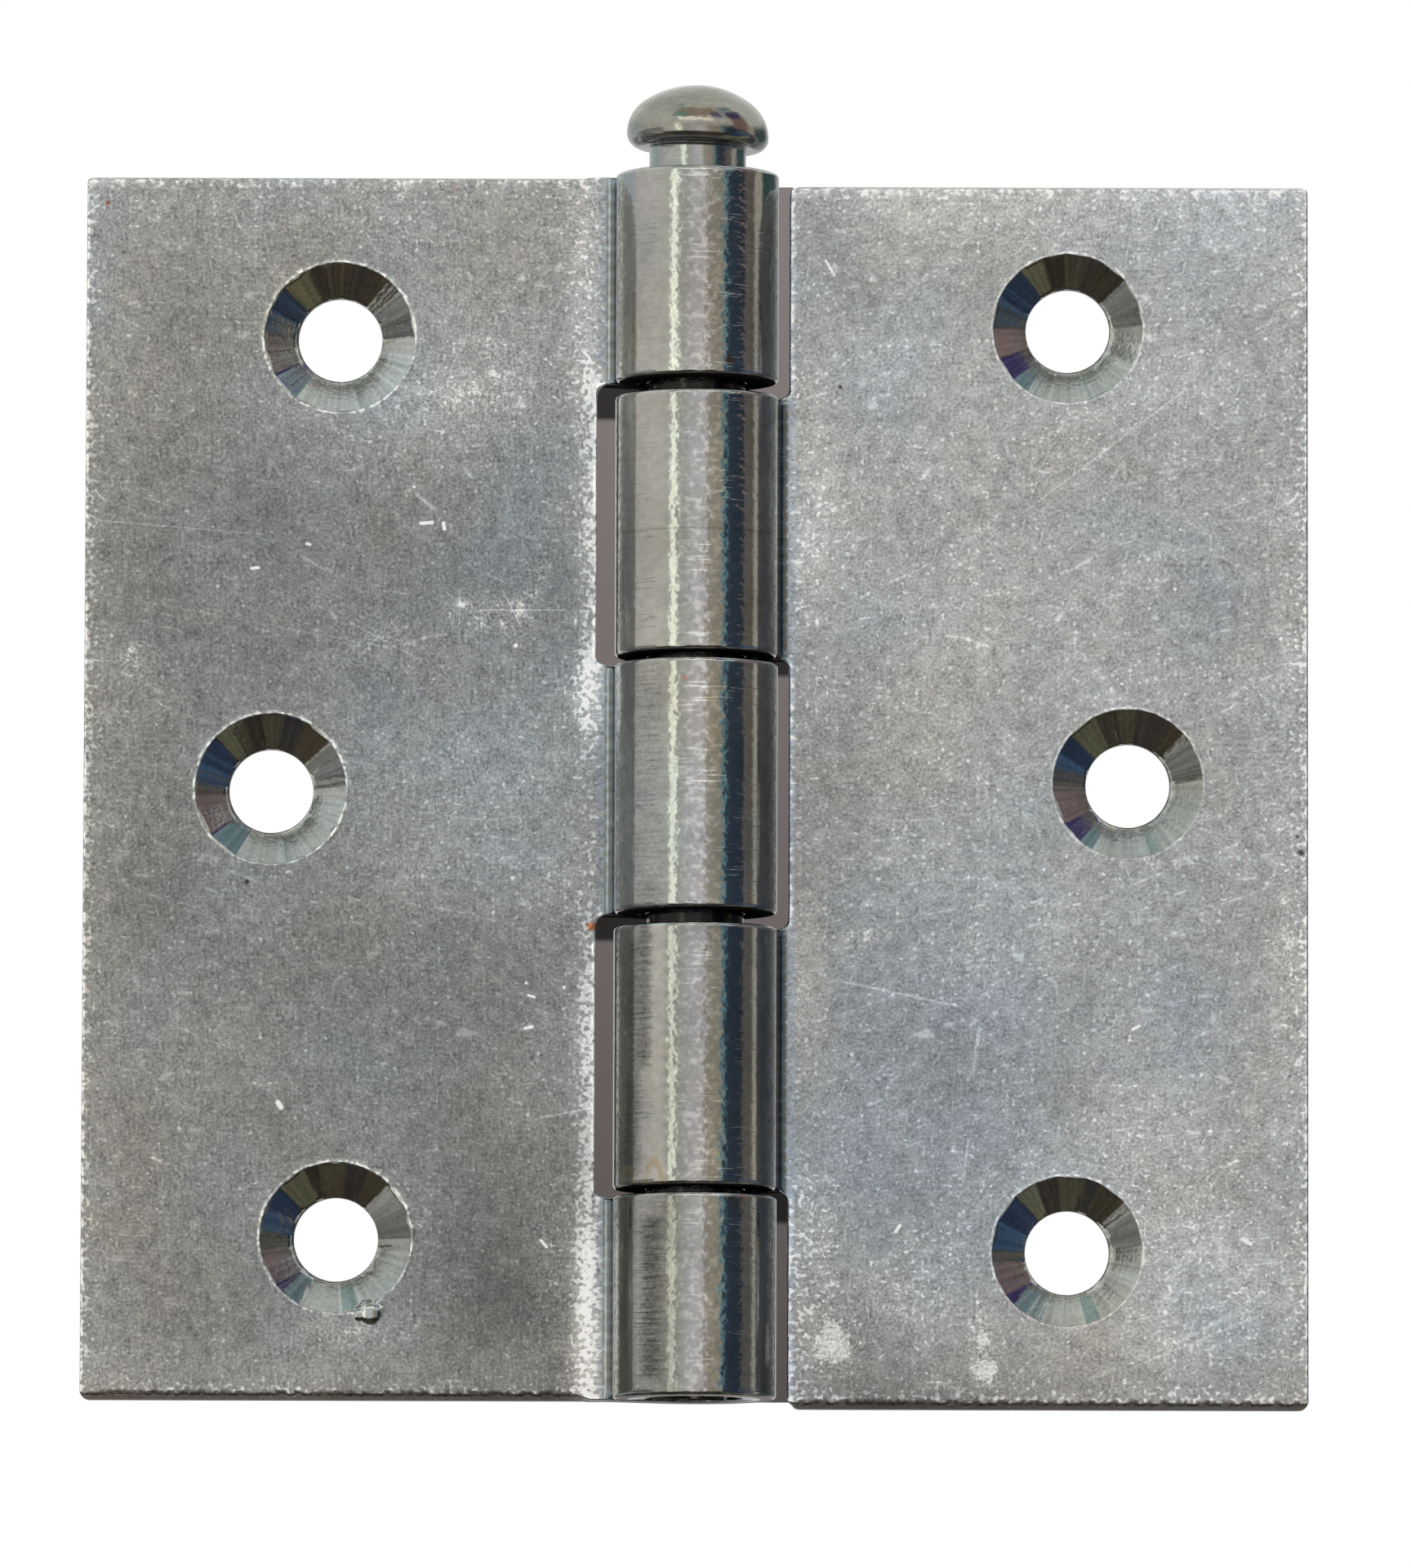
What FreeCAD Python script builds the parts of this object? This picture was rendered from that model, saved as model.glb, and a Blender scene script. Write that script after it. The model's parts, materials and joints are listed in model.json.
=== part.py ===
import FreeCAD, Part
import math
import os

# A loose-pin butt hinge, pressed and rolled from steel sheet, opened out flat.
# Z runs up along the pin, X across the two leaves, and Y away from the countersunk faces.
# The origin is on the pin's axis, at the middle of the whole hinge's height.
# Lengths are in millimetres and angles in degrees.

# Leaves
sheet = 2.0
leaf_width = 38.0
leaf_height = 76.2
closed_gap = 1.5
outer_corner_r = 0.6
notch_corner_r = 0.55
finger_corner_r = 0.35
back_edge_bevel = 0.2

# Pin
pin_r = 3.0
running_gap = 0.06
pin_stand_off = 1.6
pin_tip_chamfer = 0.6
head_r = 4.4
head_edge_r = 0.5
head_edge_flat = 0.1
head_dome = 3.4

# Knuckles
crank_angle = 25.0
crank_inner_r = 0.3
seam_gap = 0.1
middle_knuckle = 15.5
swing_knuckle = 16.2
end_play = 0.7
fixed_notches_drop = 0.25
swing_leaf_drop = 0.22
fixed_notch_gap = 1.15
swing_notch_gap = 0.85

# Screw holes
screw_hole_r = 2.6
screw_hole_land = 0.4
countersink_r = 4.67
fixed_outer_inset = 15.8
fixed_outer_margin = 10.05
fixed_outer_rise = -0.08
fixed_middle_inset = 11.65
fixed_middle_rise = -0.24
swing_outer_inset = 14.95
swing_outer_margin = 9.35
swing_outer_rise = 0.39
swing_middle_inset = 11.2
swing_middle_rise = 0.7

# Worked out from the sizes above
bore_r = pin_r + running_gap
knuckle_r = bore_r + sheet
bend_r = crank_inner_r + sheet / 2
front_y = closed_gap / 2
back_y = front_y + sheet
head_rim = head_edge_r + head_edge_flat
head_height = head_rim + head_dome
top_above_fixed_middle = leaf_height / 2 + pin_stand_off + head_height
swing_below_fixed = fixed_notches_drop + swing_leaf_drop
fixed_middle_z = (swing_below_fixed + leaf_height / 2 - top_above_fixed_middle) / 2
swing_middle_z = fixed_middle_z - swing_below_fixed
fixed_notch = swing_knuckle + 2 * end_play
swing_notch = middle_knuckle + 2 * end_play

UP = FreeCAD.Vector(0, 0, 1)
clear = 1.0
tiny = 0.001


def at(x, y, z=0.0):
    return FreeCAD.Vector(x, y, z)


def polar(radius, degrees, centre=at(0, 0)):
    turn = math.radians(degrees)
    return centre + at(radius * math.cos(turn), radius * math.sin(turn))


def line(start, end):
    return Part.LineSegment(start, end).toShape()


def arc(radius, start, end, centre=at(0, 0)):
    middle = polar(radius, (start + end) / 2, centre)
    return Part.Arc(polar(radius, start, centre), middle, polar(radius, end, centre)).toShape()


def crank():
    """Where the sheet leaves the leaf's plane: the bend's centre and the angle at which the roll ends."""
    turn = math.radians(crank_angle)
    middle_y = front_y + sheet / 2
    roll_r = bore_r + sheet / 2
    rise = roll_r * math.cos(turn) - middle_y - bend_r * (1 - math.cos(turn))
    run = rise / math.tan(turn)
    bend_x = -((roll_r + bend_r) * math.sin(turn) + run)
    roll_end = 180 - (math.degrees(math.asin((bore_r - seam_gap) / knuckle_r)) - crank_angle)
    return at(bend_x, middle_y + bend_r), roll_end


def sheet_section():
    """The sheet seen along the pin: flat leaf, crank, and the roll round the pin, for a leaf at -X."""
    bend, roll_end = crank()
    outer_r = crank_inner_r + sheet
    bend_start = -90
    bend_end = crank_angle - 90
    roll_start = 90 + crank_angle
    free_edge = -leaf_width
    return Part.Face(Part.Wire([
        line(at(free_edge, back_y), at(bend.x, back_y)),
        arc(crank_inner_r, bend_start, bend_end, bend),
        line(polar(crank_inner_r, bend_end, bend), polar(knuckle_r, roll_start)),
        arc(knuckle_r, roll_start, roll_end - 360),
        line(polar(knuckle_r, roll_end), polar(bore_r, roll_end)),
        arc(bore_r, roll_end - 360, roll_start),
        line(polar(bore_r, roll_start), polar(outer_r, bend_end, bend)),
        arc(outer_r, bend_end, bend_start, bend),
        line(at(bend.x, front_y), at(free_edge, front_y)),
        line(at(free_edge, front_y), at(free_edge, back_y)),
    ]))


def rounded(shape, radius, wanted):
    """Rounds the straight edges whose middle and direction the test wanted(middle, direction) accepts."""
    edges = []
    for edge in shape.Edges:
        if isinstance(edge.Curve, Part.Line):
            middle = (edge.Vertexes[0].Point + edge.Vertexes[1].Point) * 0.5
            if wanted(middle, edge.Curve.Direction):
                edges.append(edge)
    return shape.makeFillet(radius, edges)


def notch(low, high, notch_x, rounded_ends):
    """A cutter from the notch's edge inwards, with round corners at the ends that it closes."""
    reach = knuckle_r + clear
    box = Part.makeBox(notch_x + reach, 2 * reach, high - low, at(-notch_x, -reach, low))

    def corner(middle, direction):
        return (abs(direction.y) > 0.9 and abs(middle.x + notch_x) < tiny
                and any(abs(middle.z - end) < tiny for end in rounded_ends))

    return rounded(box, notch_corner_r, corner)


def countersunk_hole(inset, z):
    """A cutter for one screw hole, with its countersink in the front face."""
    x = inset - leaf_width
    cone_start = back_y - screw_hole_land
    slope = (countersink_r - screw_hole_r) / (cone_start - front_y)
    profile = Part.makePolygon([
        at(0, back_y + clear), at(screw_hole_r, back_y + clear), at(screw_hole_r, cone_start),
        at(countersink_r + slope * clear, front_y - clear), at(0, front_y - clear),
        at(0, back_y + clear),
    ])
    cutter = Part.Face(profile).revolve(at(0, 0), at(0, 1), 360)
    cutter.translate(at(x, 0, z))
    return cutter


def is_back(face):
    """Whether a face belongs to the back of the sheet, which the roll turns to its outside."""
    first_u, last_u, first_v, last_v = face.ParameterRange
    middle = ((first_u + last_u) / 2, (first_v + last_v) / 2)
    point = face.valueAt(*middle)
    normal = face.normalAt(*middle)
    from_pin = math.hypot(point.x, point.y)
    outside_roll = abs(from_pin - knuckle_r) < tiny and normal.dot(at(point.x, point.y)) > 0
    return outside_roll or (from_pin > knuckle_r and normal.y > 0.5)


def bevel_back(body):
    """Breaks the whole sheared outline on the back, where the press draws the sheet's edge over."""
    edges = [edge for face in body.Faces if is_back(face) for edge in face.Edges]
    outline = [edge for edge in edges if sum(edge.isSame(other) for other in edges) == 1]
    return body.makeChamfer(back_edge_bevel, outline)


def leaf(middle_z, notches, holes):
    """One leaf at -X: notched, its corners rounded, its back edges broken and its holes countersunk."""
    low_z = middle_z - leaf_height / 2
    high_z = middle_z + leaf_height / 2
    blank = sheet_section()
    blank.translate(at(0, 0, low_z))
    body = blank.extrude(UP * leaf_height)
    for low, high, notch_x, rounded_ends in notches:
        body = body.cut(notch(low, high, notch_x, rounded_ends))
    roll_end = polar(1, crank()[1])

    def outer_corner(middle, direction):
        return abs(direction.y) > 0.9 and (abs(middle.z - low_z) < tiny or abs(middle.z - high_z) < tiny)

    def finger_corner(middle, direction):
        return abs(direction.dot(roll_end)) > 0.99 and math.hypot(middle.x, middle.y) < knuckle_r

    body = rounded(body, outer_corner_r, outer_corner)
    body = rounded(body, finger_corner_r, finger_corner)
    body = bevel_back(body)
    for inset, rise in holes:
        body = body.cut(countersunk_hole(inset, middle_z + rise))
    return body.Solids[0]


def hole_places(outer_inset, outer_margin, outer_rise, middle_inset, middle_rise):
    reach = leaf_height / 2 - outer_margin
    return [
        (outer_inset, outer_rise + reach),
        (middle_inset, middle_rise),
        (outer_inset, outer_rise - reach),
    ]


def fixed_leaf():
    """The leaf with three knuckles, at -X."""
    centre = fixed_middle_z - fixed_notches_drop
    near = middle_knuckle / 2
    far = near + fixed_notch
    notch_x = knuckle_r + fixed_notch_gap
    notches = []
    for low, high in ((near, far), (-far, -near)):
        ends = (centre + low, centre + high)
        notches.append((ends[0], ends[1], notch_x, ends))
    holes = hole_places(fixed_outer_inset, fixed_outer_margin, fixed_outer_rise,
                        fixed_middle_inset, fixed_middle_rise)
    return leaf(fixed_middle_z, notches, holes)


def swing_leaf():
    """The leaf with two knuckles, made at -X and turned over to +X."""
    centre = swing_middle_z
    near = swing_notch / 2
    far = near + swing_knuckle
    past = leaf_height / 2 + clear
    notch_x = knuckle_r + swing_notch_gap
    notches = [
        (centre + far, centre + past, notch_x, (centre + far,)),
        (centre - near, centre + near, notch_x, (centre - near, centre + near)),
        (centre - past, centre - far, notch_x, (centre - far,)),
    ]
    holes = hole_places(swing_outer_inset, swing_outer_margin, swing_outer_rise,
                        swing_middle_inset, swing_middle_rise)
    return leaf(swing_middle_z, notches, holes).mirror(at(0, 0), at(1, 0))


def oval_radii(half_width, half_height):
    """The two radii of the arcs that draw an oval close to an ellipse: at its ends, and across its crown."""
    diagonal = math.hypot(half_width, half_height)
    excess = (half_width - half_height) * diagonal
    return (diagonal ** 2 - excess) / (2 * half_width), (diagonal ** 2 + excess) / (2 * half_height)


def hinge_pin():
    """The loose pin with its domed head up, drawn along Y from the head's underside and then stood up."""
    shoulder_r, crown_r = oval_radii(head_r, head_dome)
    shoulder = at(head_r - shoulder_r, head_rim)
    crown = at(0, head_height - crown_r)
    meeting = math.degrees(math.atan2(shoulder.y - crown.y, shoulder.x - crown.x))
    edge = at(head_r - head_edge_r, head_edge_r)
    tip = -leaf_height
    profile = Part.Wire([
        line(at(0, tip), at(pin_r - pin_tip_chamfer, tip)),
        line(at(pin_r - pin_tip_chamfer, tip), at(pin_r, tip + pin_tip_chamfer)),
        line(at(pin_r, tip + pin_tip_chamfer), at(pin_r, 0)),
        line(at(pin_r, 0), at(edge.x, 0)),
        arc(head_edge_r, -90, 0, edge),
        line(at(head_r, edge.y), at(head_r, head_rim)),
        arc(shoulder_r, 0, meeting, shoulder),
        arc(crown_r, meeting, 90, crown),
        line(at(0, head_height), at(0, tip)),
    ])
    pin = Part.Face(profile).revolve(at(0, 0), at(0, 1), 360)
    pin.rotate(at(0, 0), at(1, 0), 90)
    pin.translate(UP * (fixed_middle_z + leaf_height / 2 + pin_stand_off))
    return pin


def main():
    os.makedirs("parts", exist_ok=True)
    pieces = {"fixed_leaf": fixed_leaf(), "swing_leaf": swing_leaf(), "hinge_pin": hinge_pin()}
    for name, shape in pieces.items():
        shape.exportStep(os.path.join("parts", name + ".step"))


main()
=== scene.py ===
import json
import math
import random

import bpy
import numpy as np
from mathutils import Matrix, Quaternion, Vector, geometry, kdtree, noise

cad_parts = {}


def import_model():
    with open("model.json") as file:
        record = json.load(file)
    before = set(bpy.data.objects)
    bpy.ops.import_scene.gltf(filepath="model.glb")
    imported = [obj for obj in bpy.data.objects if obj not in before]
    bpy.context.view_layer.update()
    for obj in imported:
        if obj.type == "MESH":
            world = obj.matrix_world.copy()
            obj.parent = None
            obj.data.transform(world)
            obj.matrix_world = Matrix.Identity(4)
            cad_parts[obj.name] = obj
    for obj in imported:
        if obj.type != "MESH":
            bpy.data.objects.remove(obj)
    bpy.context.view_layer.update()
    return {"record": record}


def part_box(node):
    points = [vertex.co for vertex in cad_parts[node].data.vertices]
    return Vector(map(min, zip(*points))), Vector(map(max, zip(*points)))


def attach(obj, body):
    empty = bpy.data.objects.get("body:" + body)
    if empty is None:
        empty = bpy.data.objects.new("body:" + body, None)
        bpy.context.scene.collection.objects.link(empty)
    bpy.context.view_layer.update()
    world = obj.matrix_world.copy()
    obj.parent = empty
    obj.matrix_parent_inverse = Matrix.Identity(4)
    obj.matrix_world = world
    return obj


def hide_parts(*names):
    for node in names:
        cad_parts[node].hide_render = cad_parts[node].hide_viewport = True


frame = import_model()

# A zinc-plated butt hinge. Each leaf is drawn as the flat blank that the press cuts, and then cranked and
# rolled round the pin like the real sheet. Lengths are in millimetres until they become a mesh, except
# where metres are named. A place on the blank is s, the way along the sheet from its free edge, and z, the
# height on the pin.

# The sheet, the crank and the roll, as the frame's solids have them
SHEET = 2.0
PIN_R = 3.0
RUNNING_GAP = 0.06
CRANK_ANGLE = math.radians(25)
CRANK_INNER_R = 0.3
SEAM_GAP = 0.1
MIDDLE_KNUCKLE = 15.5
SWING_KNUCKLE = 16.2
END_PLAY = 0.7
FIXED_NOTCHES_DROP = 0.25
NOTCH_GAP = {"fixed_leaf": 1.15, "swing_leaf": 0.85}
OUTER_CORNER_R = 0.6
NOTCH_CORNER_R = 0.55
FINGER_CORNER_R = 0.35
BACK_EDGE_R = 0.24
FRONT_EDGE_R = 0.05
COUNTERSINK_R = 4.67
HOLE_LAND = 0.4

# The pin and its head
HEAD_R = 4.4
HEAD_EDGE_R = 0.85
HEAD_DOME = 3.15
HEAD_LEAN = 0.04
HEAD_FILLET = 0.12
PIN_TIP_CHAMFER = 0.6
TIP_EDGE_R = 0.2

# Painted shade: how dark the pin is painted where it shows in the gaps between the knuckles, as a share of
# clean metal
GAP_PAINTED_SHADE = 0.07

# How finely the meshes are drawn
OUTLINE_STEP = 0.2
GRID_STEP = 0.46
EDGE_RINGS = (0.03, 0.08, 0.16, 0.26, 0.38)
HOLE_STEPS = 168
LATHE_STEPS = 160


def in_mm(vector):
    return [1000 * x for x in vector]


def height_range(name):
    """The lowest and the highest z of one of the frame's solids."""
    return [1000 * corner[2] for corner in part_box(name)]


def mount(name):
    return next(m for m in frame["record"]["mounts"] if m["name"] == name)


leaf_width = -in_mm(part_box("fixed_leaf")[0])[0]
back_y = in_mm(mount("fixed_leaf_back")["pos_m"])[1]
half = SHEET / 2
bore_r = PIN_R + RUNNING_GAP
roll_r = bore_r + half
knuckle_r = bore_r + SHEET
bend_r = CRANK_INNER_R + half
flat_y = back_y - half
crank_rise = roll_r * math.cos(CRANK_ANGLE) - flat_y - bend_r * (1 - math.cos(CRANK_ANGLE))
bend_x = -(roll_r + bend_r) * math.sin(CRANK_ANGLE) - crank_rise / math.tan(CRANK_ANGLE)
seam_angle = math.asin((bore_r - SEAM_GAP) / knuckle_r)

# Where each stretch of the blank ends, measured along the middle of the sheet
flat_end = leaf_width + bend_x
bend_end = flat_end + bend_r * CRANK_ANGLE
slope_end = bend_end + crank_rise / math.sin(CRANK_ANGLE)
blank_end = slope_end + roll_r * (1.5 * math.pi + seam_angle)


def rolled(s, offset):
    """Where a place on the blank lies once it is cranked and rolled, for a leaf at -X.

    The offset is from the middle of the sheet towards its back, which the roll turns to its outside."""
    bend = (s - flat_end) / bend_r
    past_bend = s - bend_end
    round_pin = math.pi / 2 + CRANK_ANGLE - (s - slope_end) / roll_r
    inner = bend_r - offset
    bend_y = flat_y + bend_r
    stretches = [s <= flat_end, s <= bend_end, s <= slope_end]
    x = np.select(stretches, [
        s - leaf_width,
        bend_x + inner * np.sin(bend),
        bend_x + inner * math.sin(CRANK_ANGLE) + past_bend * math.cos(CRANK_ANGLE),
    ], (roll_r + offset) * np.cos(round_pin))
    y = np.select(stretches, [
        flat_y + offset,
        bend_y - inner * np.cos(bend),
        bend_y - inner * math.cos(CRANK_ANGLE) + past_bend * math.sin(CRANK_ANGLE),
    ], (roll_r + offset) * np.sin(round_pin))
    return x, y


def notch_edge(name):
    """How far along the blank the edge of a leaf's notches lies."""
    x = knuckle_r + NOTCH_GAP[name]
    if x >= -bend_x:
        return leaf_width - x
    return flat_end + bend_r * math.asin((-bend_x - x) / bend_r)


def knuckle_levels(name):
    """The low and high end of each knuckle of a leaf, from the bottom one up."""
    low, high = height_range(name)
    middle = (low + high) / 2
    if name == "fixed_leaf":
        middle -= FIXED_NOTCHES_DROP
        near = MIDDLE_KNUCKLE / 2
        far = near + SWING_KNUCKLE + 2 * END_PLAY
        return [(low, middle - far), (middle - near, middle + near), (middle + far, high)]
    near = MIDDLE_KNUCKLE / 2 + END_PLAY
    far = near + SWING_KNUCKLE
    return [(middle - far, middle - near), (middle + near, middle + far)]


def blank_corners(name):
    """The corners of a leaf's blank, anticlockwise, each as s, z and its radius."""
    low, high = height_range(name)
    edge = notch_edge(name)
    corners = [(0, low, OUTER_CORNER_R)]
    for start, end in knuckle_levels(name):
        if start > low:
            corners.append((edge, start, NOTCH_CORNER_R))
        corners.append((blank_end, start, FINGER_CORNER_R))
        corners.append((blank_end, end, FINGER_CORNER_R))
        if end < high:
            corners.append((edge, end, NOTCH_CORNER_R))
    if name == "swing_leaf":
        corners.insert(1, (edge, low, OUTER_CORNER_R))
        corners.append((edge, high, OUTER_CORNER_R))
    corners.append((0, high, OUTER_CORNER_R))
    return corners


def drawn_outline(corners, step):
    """Points and inward directions along a closed anticlockwise outline with round corners."""
    points, inward = [], []
    ends = []
    for i, (s, z, radius) in enumerate(corners):
        here = np.array([s, z])
        before = here - np.array(corners[i - 1][:2])
        after = np.array(corners[(i + 1) % len(corners)][:2]) - here
        before /= np.linalg.norm(before)
        after /= np.linalg.norm(after)
        ends.append((here - before * radius, here + after * radius, before, after, radius))
    for i, (start, end, before, after, radius) in enumerate(ends):
        left = math.copysign(1, before[0] * after[1] - before[1] * after[0])
        across = np.array([-before[1], before[0]])
        centre = start + across * left * radius
        count = max(3, round(radius * math.pi / 2 / step))
        for turn in np.linspace(0, math.pi / 2, count, endpoint=False):
            out = -across * left * math.cos(turn) + before * math.sin(turn)
            points.append(centre + out * radius)
            inward.append(-out * left)
        straight = ends[(i + 1) % len(ends)][0] - end
        length = np.linalg.norm(straight)
        for share in np.linspace(0, 1, max(2, round(length / step)), endpoint=False):
            points.append(end + straight * share)
            inward.append(np.array([-after[1], after[0]]))
    return np.array(points), np.array(inward)


def tree_of(points):
    tree = kdtree.KDTree(len(points))
    for i, (s, z) in enumerate(points):
        tree.insert((s, z, 0), i)
    tree.balance()
    return tree


def away_from(tree, points):
    return np.array([tree.find((s, z, 0))[2] for s, z in points])


def holes_of(name):
    """The middles of a leaf's three screw holes on its blank."""
    pair, middle = mount(name + "_screws"), mount(name + "_middle_screw")
    reach = pair["dims"]["spacing_y_mm"] / 2
    x, _, z = in_mm(pair["pos_m"])
    middle_x, _, middle_z = in_mm(middle["pos_m"])
    places = [(x, z + reach), (middle_x, middle_z), (x, z - reach)]
    return [np.array([leaf_width - abs(x), z]) for x, z in places]


hole_r = mount("fixed_leaf_screws")["dims"]["hole_r_mm"]

# The narrow flat that the drill leaves at the foot of each countersink, wider on one side of the hole, and
# how far the rings of points near the countersink's rim lie outside it
LEDGE = (0.05, 0.27)
LEDGE_SIDE = math.radians(222)
RIM_STEPS = (-0.08, -0.03, 0, 0.03, 0.07, 0.12, 0.18, 0.28, 0.45, 0.7)


def foot_radius(turn):
    """Where a countersink ends and the flat at its foot begins, in each direction round the hole."""
    least, most = LEDGE
    return hole_r + least + (most - least) * (0.5 + 0.5 * np.cos(turn - LEDGE_SIDE)) ** 1.5


def hole_rings():
    """The rings of points round a screw hole, from its edge outwards, each as its radius at every step."""
    foot = foot_radius(np.arange(HOLE_STEPS) * 2 * math.pi / HOLE_STEPS)
    rings = [foot * 0 + hole_r, foot - 0.02, foot + 0.02]
    rings += [foot + (COUNTERSINK_R - foot) * share for share in np.linspace(0.1, 0.9, 7)]
    return rings + [foot * 0 + COUNTERSINK_R + step for step in RIM_STEPS]


# The drop of plating on the rim of the lower left countersink: its middle from the hole's, its half sizes,
# how finely it is drawn, how deep its foot lies under the leaf's front, and its caps, each as its place on
# the drop, its radius and its height
LUMP_FROM_HOLE = np.array([2.05, -4.62])
LUMP_HALF = np.array([1.15, 0.8])
LUMP_STEP = 0.11
LUMP_REACH = 1.25
LUMP_FOOT = 0.14
LUMP_CAPS = (
    (0.12, 0.0, 0.74, 0.38), (-0.56, -0.12, 0.46, 0.28), (0.3, -0.34, 0.4, 0.27), (0.76, 0.22, 0.3, 0.22),
)


def circle(centre, radius, steps):
    turn = np.arange(steps) * 2 * math.pi / steps
    return centre + np.stack([radius * np.cos(turn), radius * np.sin(turn)], 1)


def in_oval(points, half_sizes):
    return np.linalg.norm(points / half_sizes, axis=1) < 1


def blank_points(name, holes):
    """The points of a leaf's blank and its outline: rings along its edges and holes, and a grid between."""
    outline, inward = drawn_outline(blank_corners(name), OUTLINE_STEP)
    fine, _ = drawn_outline(blank_corners(name), OUTLINE_STEP / 8)
    edge_tree = tree_of(fine)
    kept = [outline]
    for distance in EDGE_RINGS:
        ring = outline + inward * distance
        kept.append(ring[away_from(edge_tree, ring) > 0.93 * distance])
    for centre in holes:
        kept += [circle(centre, radius, HOLE_STEPS) for radius in hole_rings()]
    taken = COUNTERSINK_R + RIM_STEPS[-1] + 0.6 * GRID_STEP
    row_step = GRID_STEP * math.sqrt(3) / 2
    low, high = outline[:, 1].min(), outline[:, 1].max()
    along = np.arange(0, blank_end, GRID_STEP)
    grid = np.concatenate([
        np.column_stack([along + (i % 2) * GRID_STEP / 2, np.full(len(along), row)])
        for i, row in enumerate(np.arange(low, high, row_step))
    ])
    for centre in holes:
        grid = grid[np.linalg.norm(grid - centre, axis=1) > taken]
    grid = grid[away_from(edge_tree, grid) > EDGE_RINGS[-1] + 0.5 * GRID_STEP]
    if name == "fixed_leaf":
        lump = holes[2] + LUMP_FROM_HOLE
        steps = np.arange(-LUMP_REACH, LUMP_REACH + 0.01, LUMP_STEP)
        patch = np.stack(np.meshgrid(steps, steps), -1).reshape(-1, 2)
        rings = [ring[~in_oval(ring - lump, LUMP_HALF * 1.2)] for ring in kept[1:]]
        kept = [outline, *rings, lump + patch[in_oval(patch, LUMP_HALF * 1.15)]]
        grid = grid[~in_oval(grid - lump, LUMP_HALF + 0.3)]
    kept.append(grid)
    return np.concatenate(kept), len(outline), edge_tree


# The kind of triangulation that keeps only what is inside the outline, and how close points count as one
INSIDE_ONLY = 1
SAME_POINT = 1e-6


def triangles(points, outline_count, holes):
    """The blank cut into triangles, anticlockwise, with nothing outside its outline or in its holes."""
    loop = np.arange(outline_count)
    edges = list(zip(loop.tolist(), np.roll(loop, -1).tolist()))
    vectors = [Vector(point) for point in points.tolist()]
    flat, _, faces = geometry.delaunay_2d_cdt(vectors, edges, [], INSIDE_ONLY, SAME_POINT)[:3]
    flat = np.array([tuple(p) for p in flat])
    faces = np.array(faces)
    middles = flat[faces].mean(1)
    for centre in holes:
        keep = np.linalg.norm(middles - centre, axis=1) > hole_r * math.cos(math.pi / HOLE_STEPS)
        faces, middles = faces[keep], middles[keep]
    a, b, c = (flat[faces[:, k]] for k in range(3))
    turned = np.cross(b - a, c - a) < 0
    faces[turned] = faces[turned][:, ::-1]
    return flat, faces


def loose_edges(faces):
    """The edges that only one triangle has, in that triangle's direction."""
    edges = np.concatenate([faces[:, [0, 1]], faces[:, [1, 2]], faces[:, [2, 0]]])
    size = faces.max() + 1
    keys = edges[:, 0] * size + edges[:, 1]
    back = edges[:, 1] * size + edges[:, 0]
    return edges[~np.isin(keys, back)]


def wobble(places, scale, seed):
    """Smooth noise between about -1 and 1 at each place."""
    return np.array([noise.noise(Vector((x * scale, y * scale, seed))) for x, y in places.tolist()])


# How far the burr stands up round the countersinks of each leaf, at its least and its most, how deep the
# countersinking tool has chattered, how many steps wide the facets are that it cut, at least and at most,
# and how much steeper they are, and where the rows of points lie down the sheared wall
RIM_BURR = {"fixed_leaf": (0.02, 0.12), "swing_leaf": (0.008, 0.035)}
CHATTER = 0.004
FACET_STEPS = (4, 11)
FACET_STEEPER = (0.975, 1.02)
WALL_ROWS = (0.02, 0.06, 0.15, 0.3, 0.5, 0.7, 0.85, 0.94)


def ramp(value, low, high):
    """From 0 at low to 1 at high, with soft ends."""
    share = np.clip((value - low) / (high - low), 0, 1)
    return share * share * (3 - 2 * share)


def between(value, low, high, outside, inside):
    """1 between low and high and 0 past them, with an edge that begins outside them and ends inside them."""
    return ramp(value, low - outside, low + inside) * ramp(value, high + outside, high - inside)


def facet_distance(radius, turn, seed):
    """How far out a place counts as lying when the cone is cut in flat facets, and its facet's steepness."""
    draw = random.Random(seed)
    edges = [0]
    while edges[-1] < HOLE_STEPS:
        edges.append(edges[-1] + draw.randint(*FACET_STEPS))
    edges[-1] = HOLE_STEPS
    edges = np.array(edges) * 2 * math.pi / HOLE_STEPS
    steeper = np.array([draw.uniform(*FACET_STEEPER) for _ in edges])
    turn = turn % (2 * math.pi)
    facet = (np.searchsorted(edges, turn, side="right") - 1).clip(0, len(edges) - 2)
    middle = (edges[facet] + edges[facet + 1]) / 2
    half_width = (edges[facet + 1] - edges[facet]) / 2
    return radius * np.cos(turn - middle) / np.cos(half_width), steeper[facet]


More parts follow.
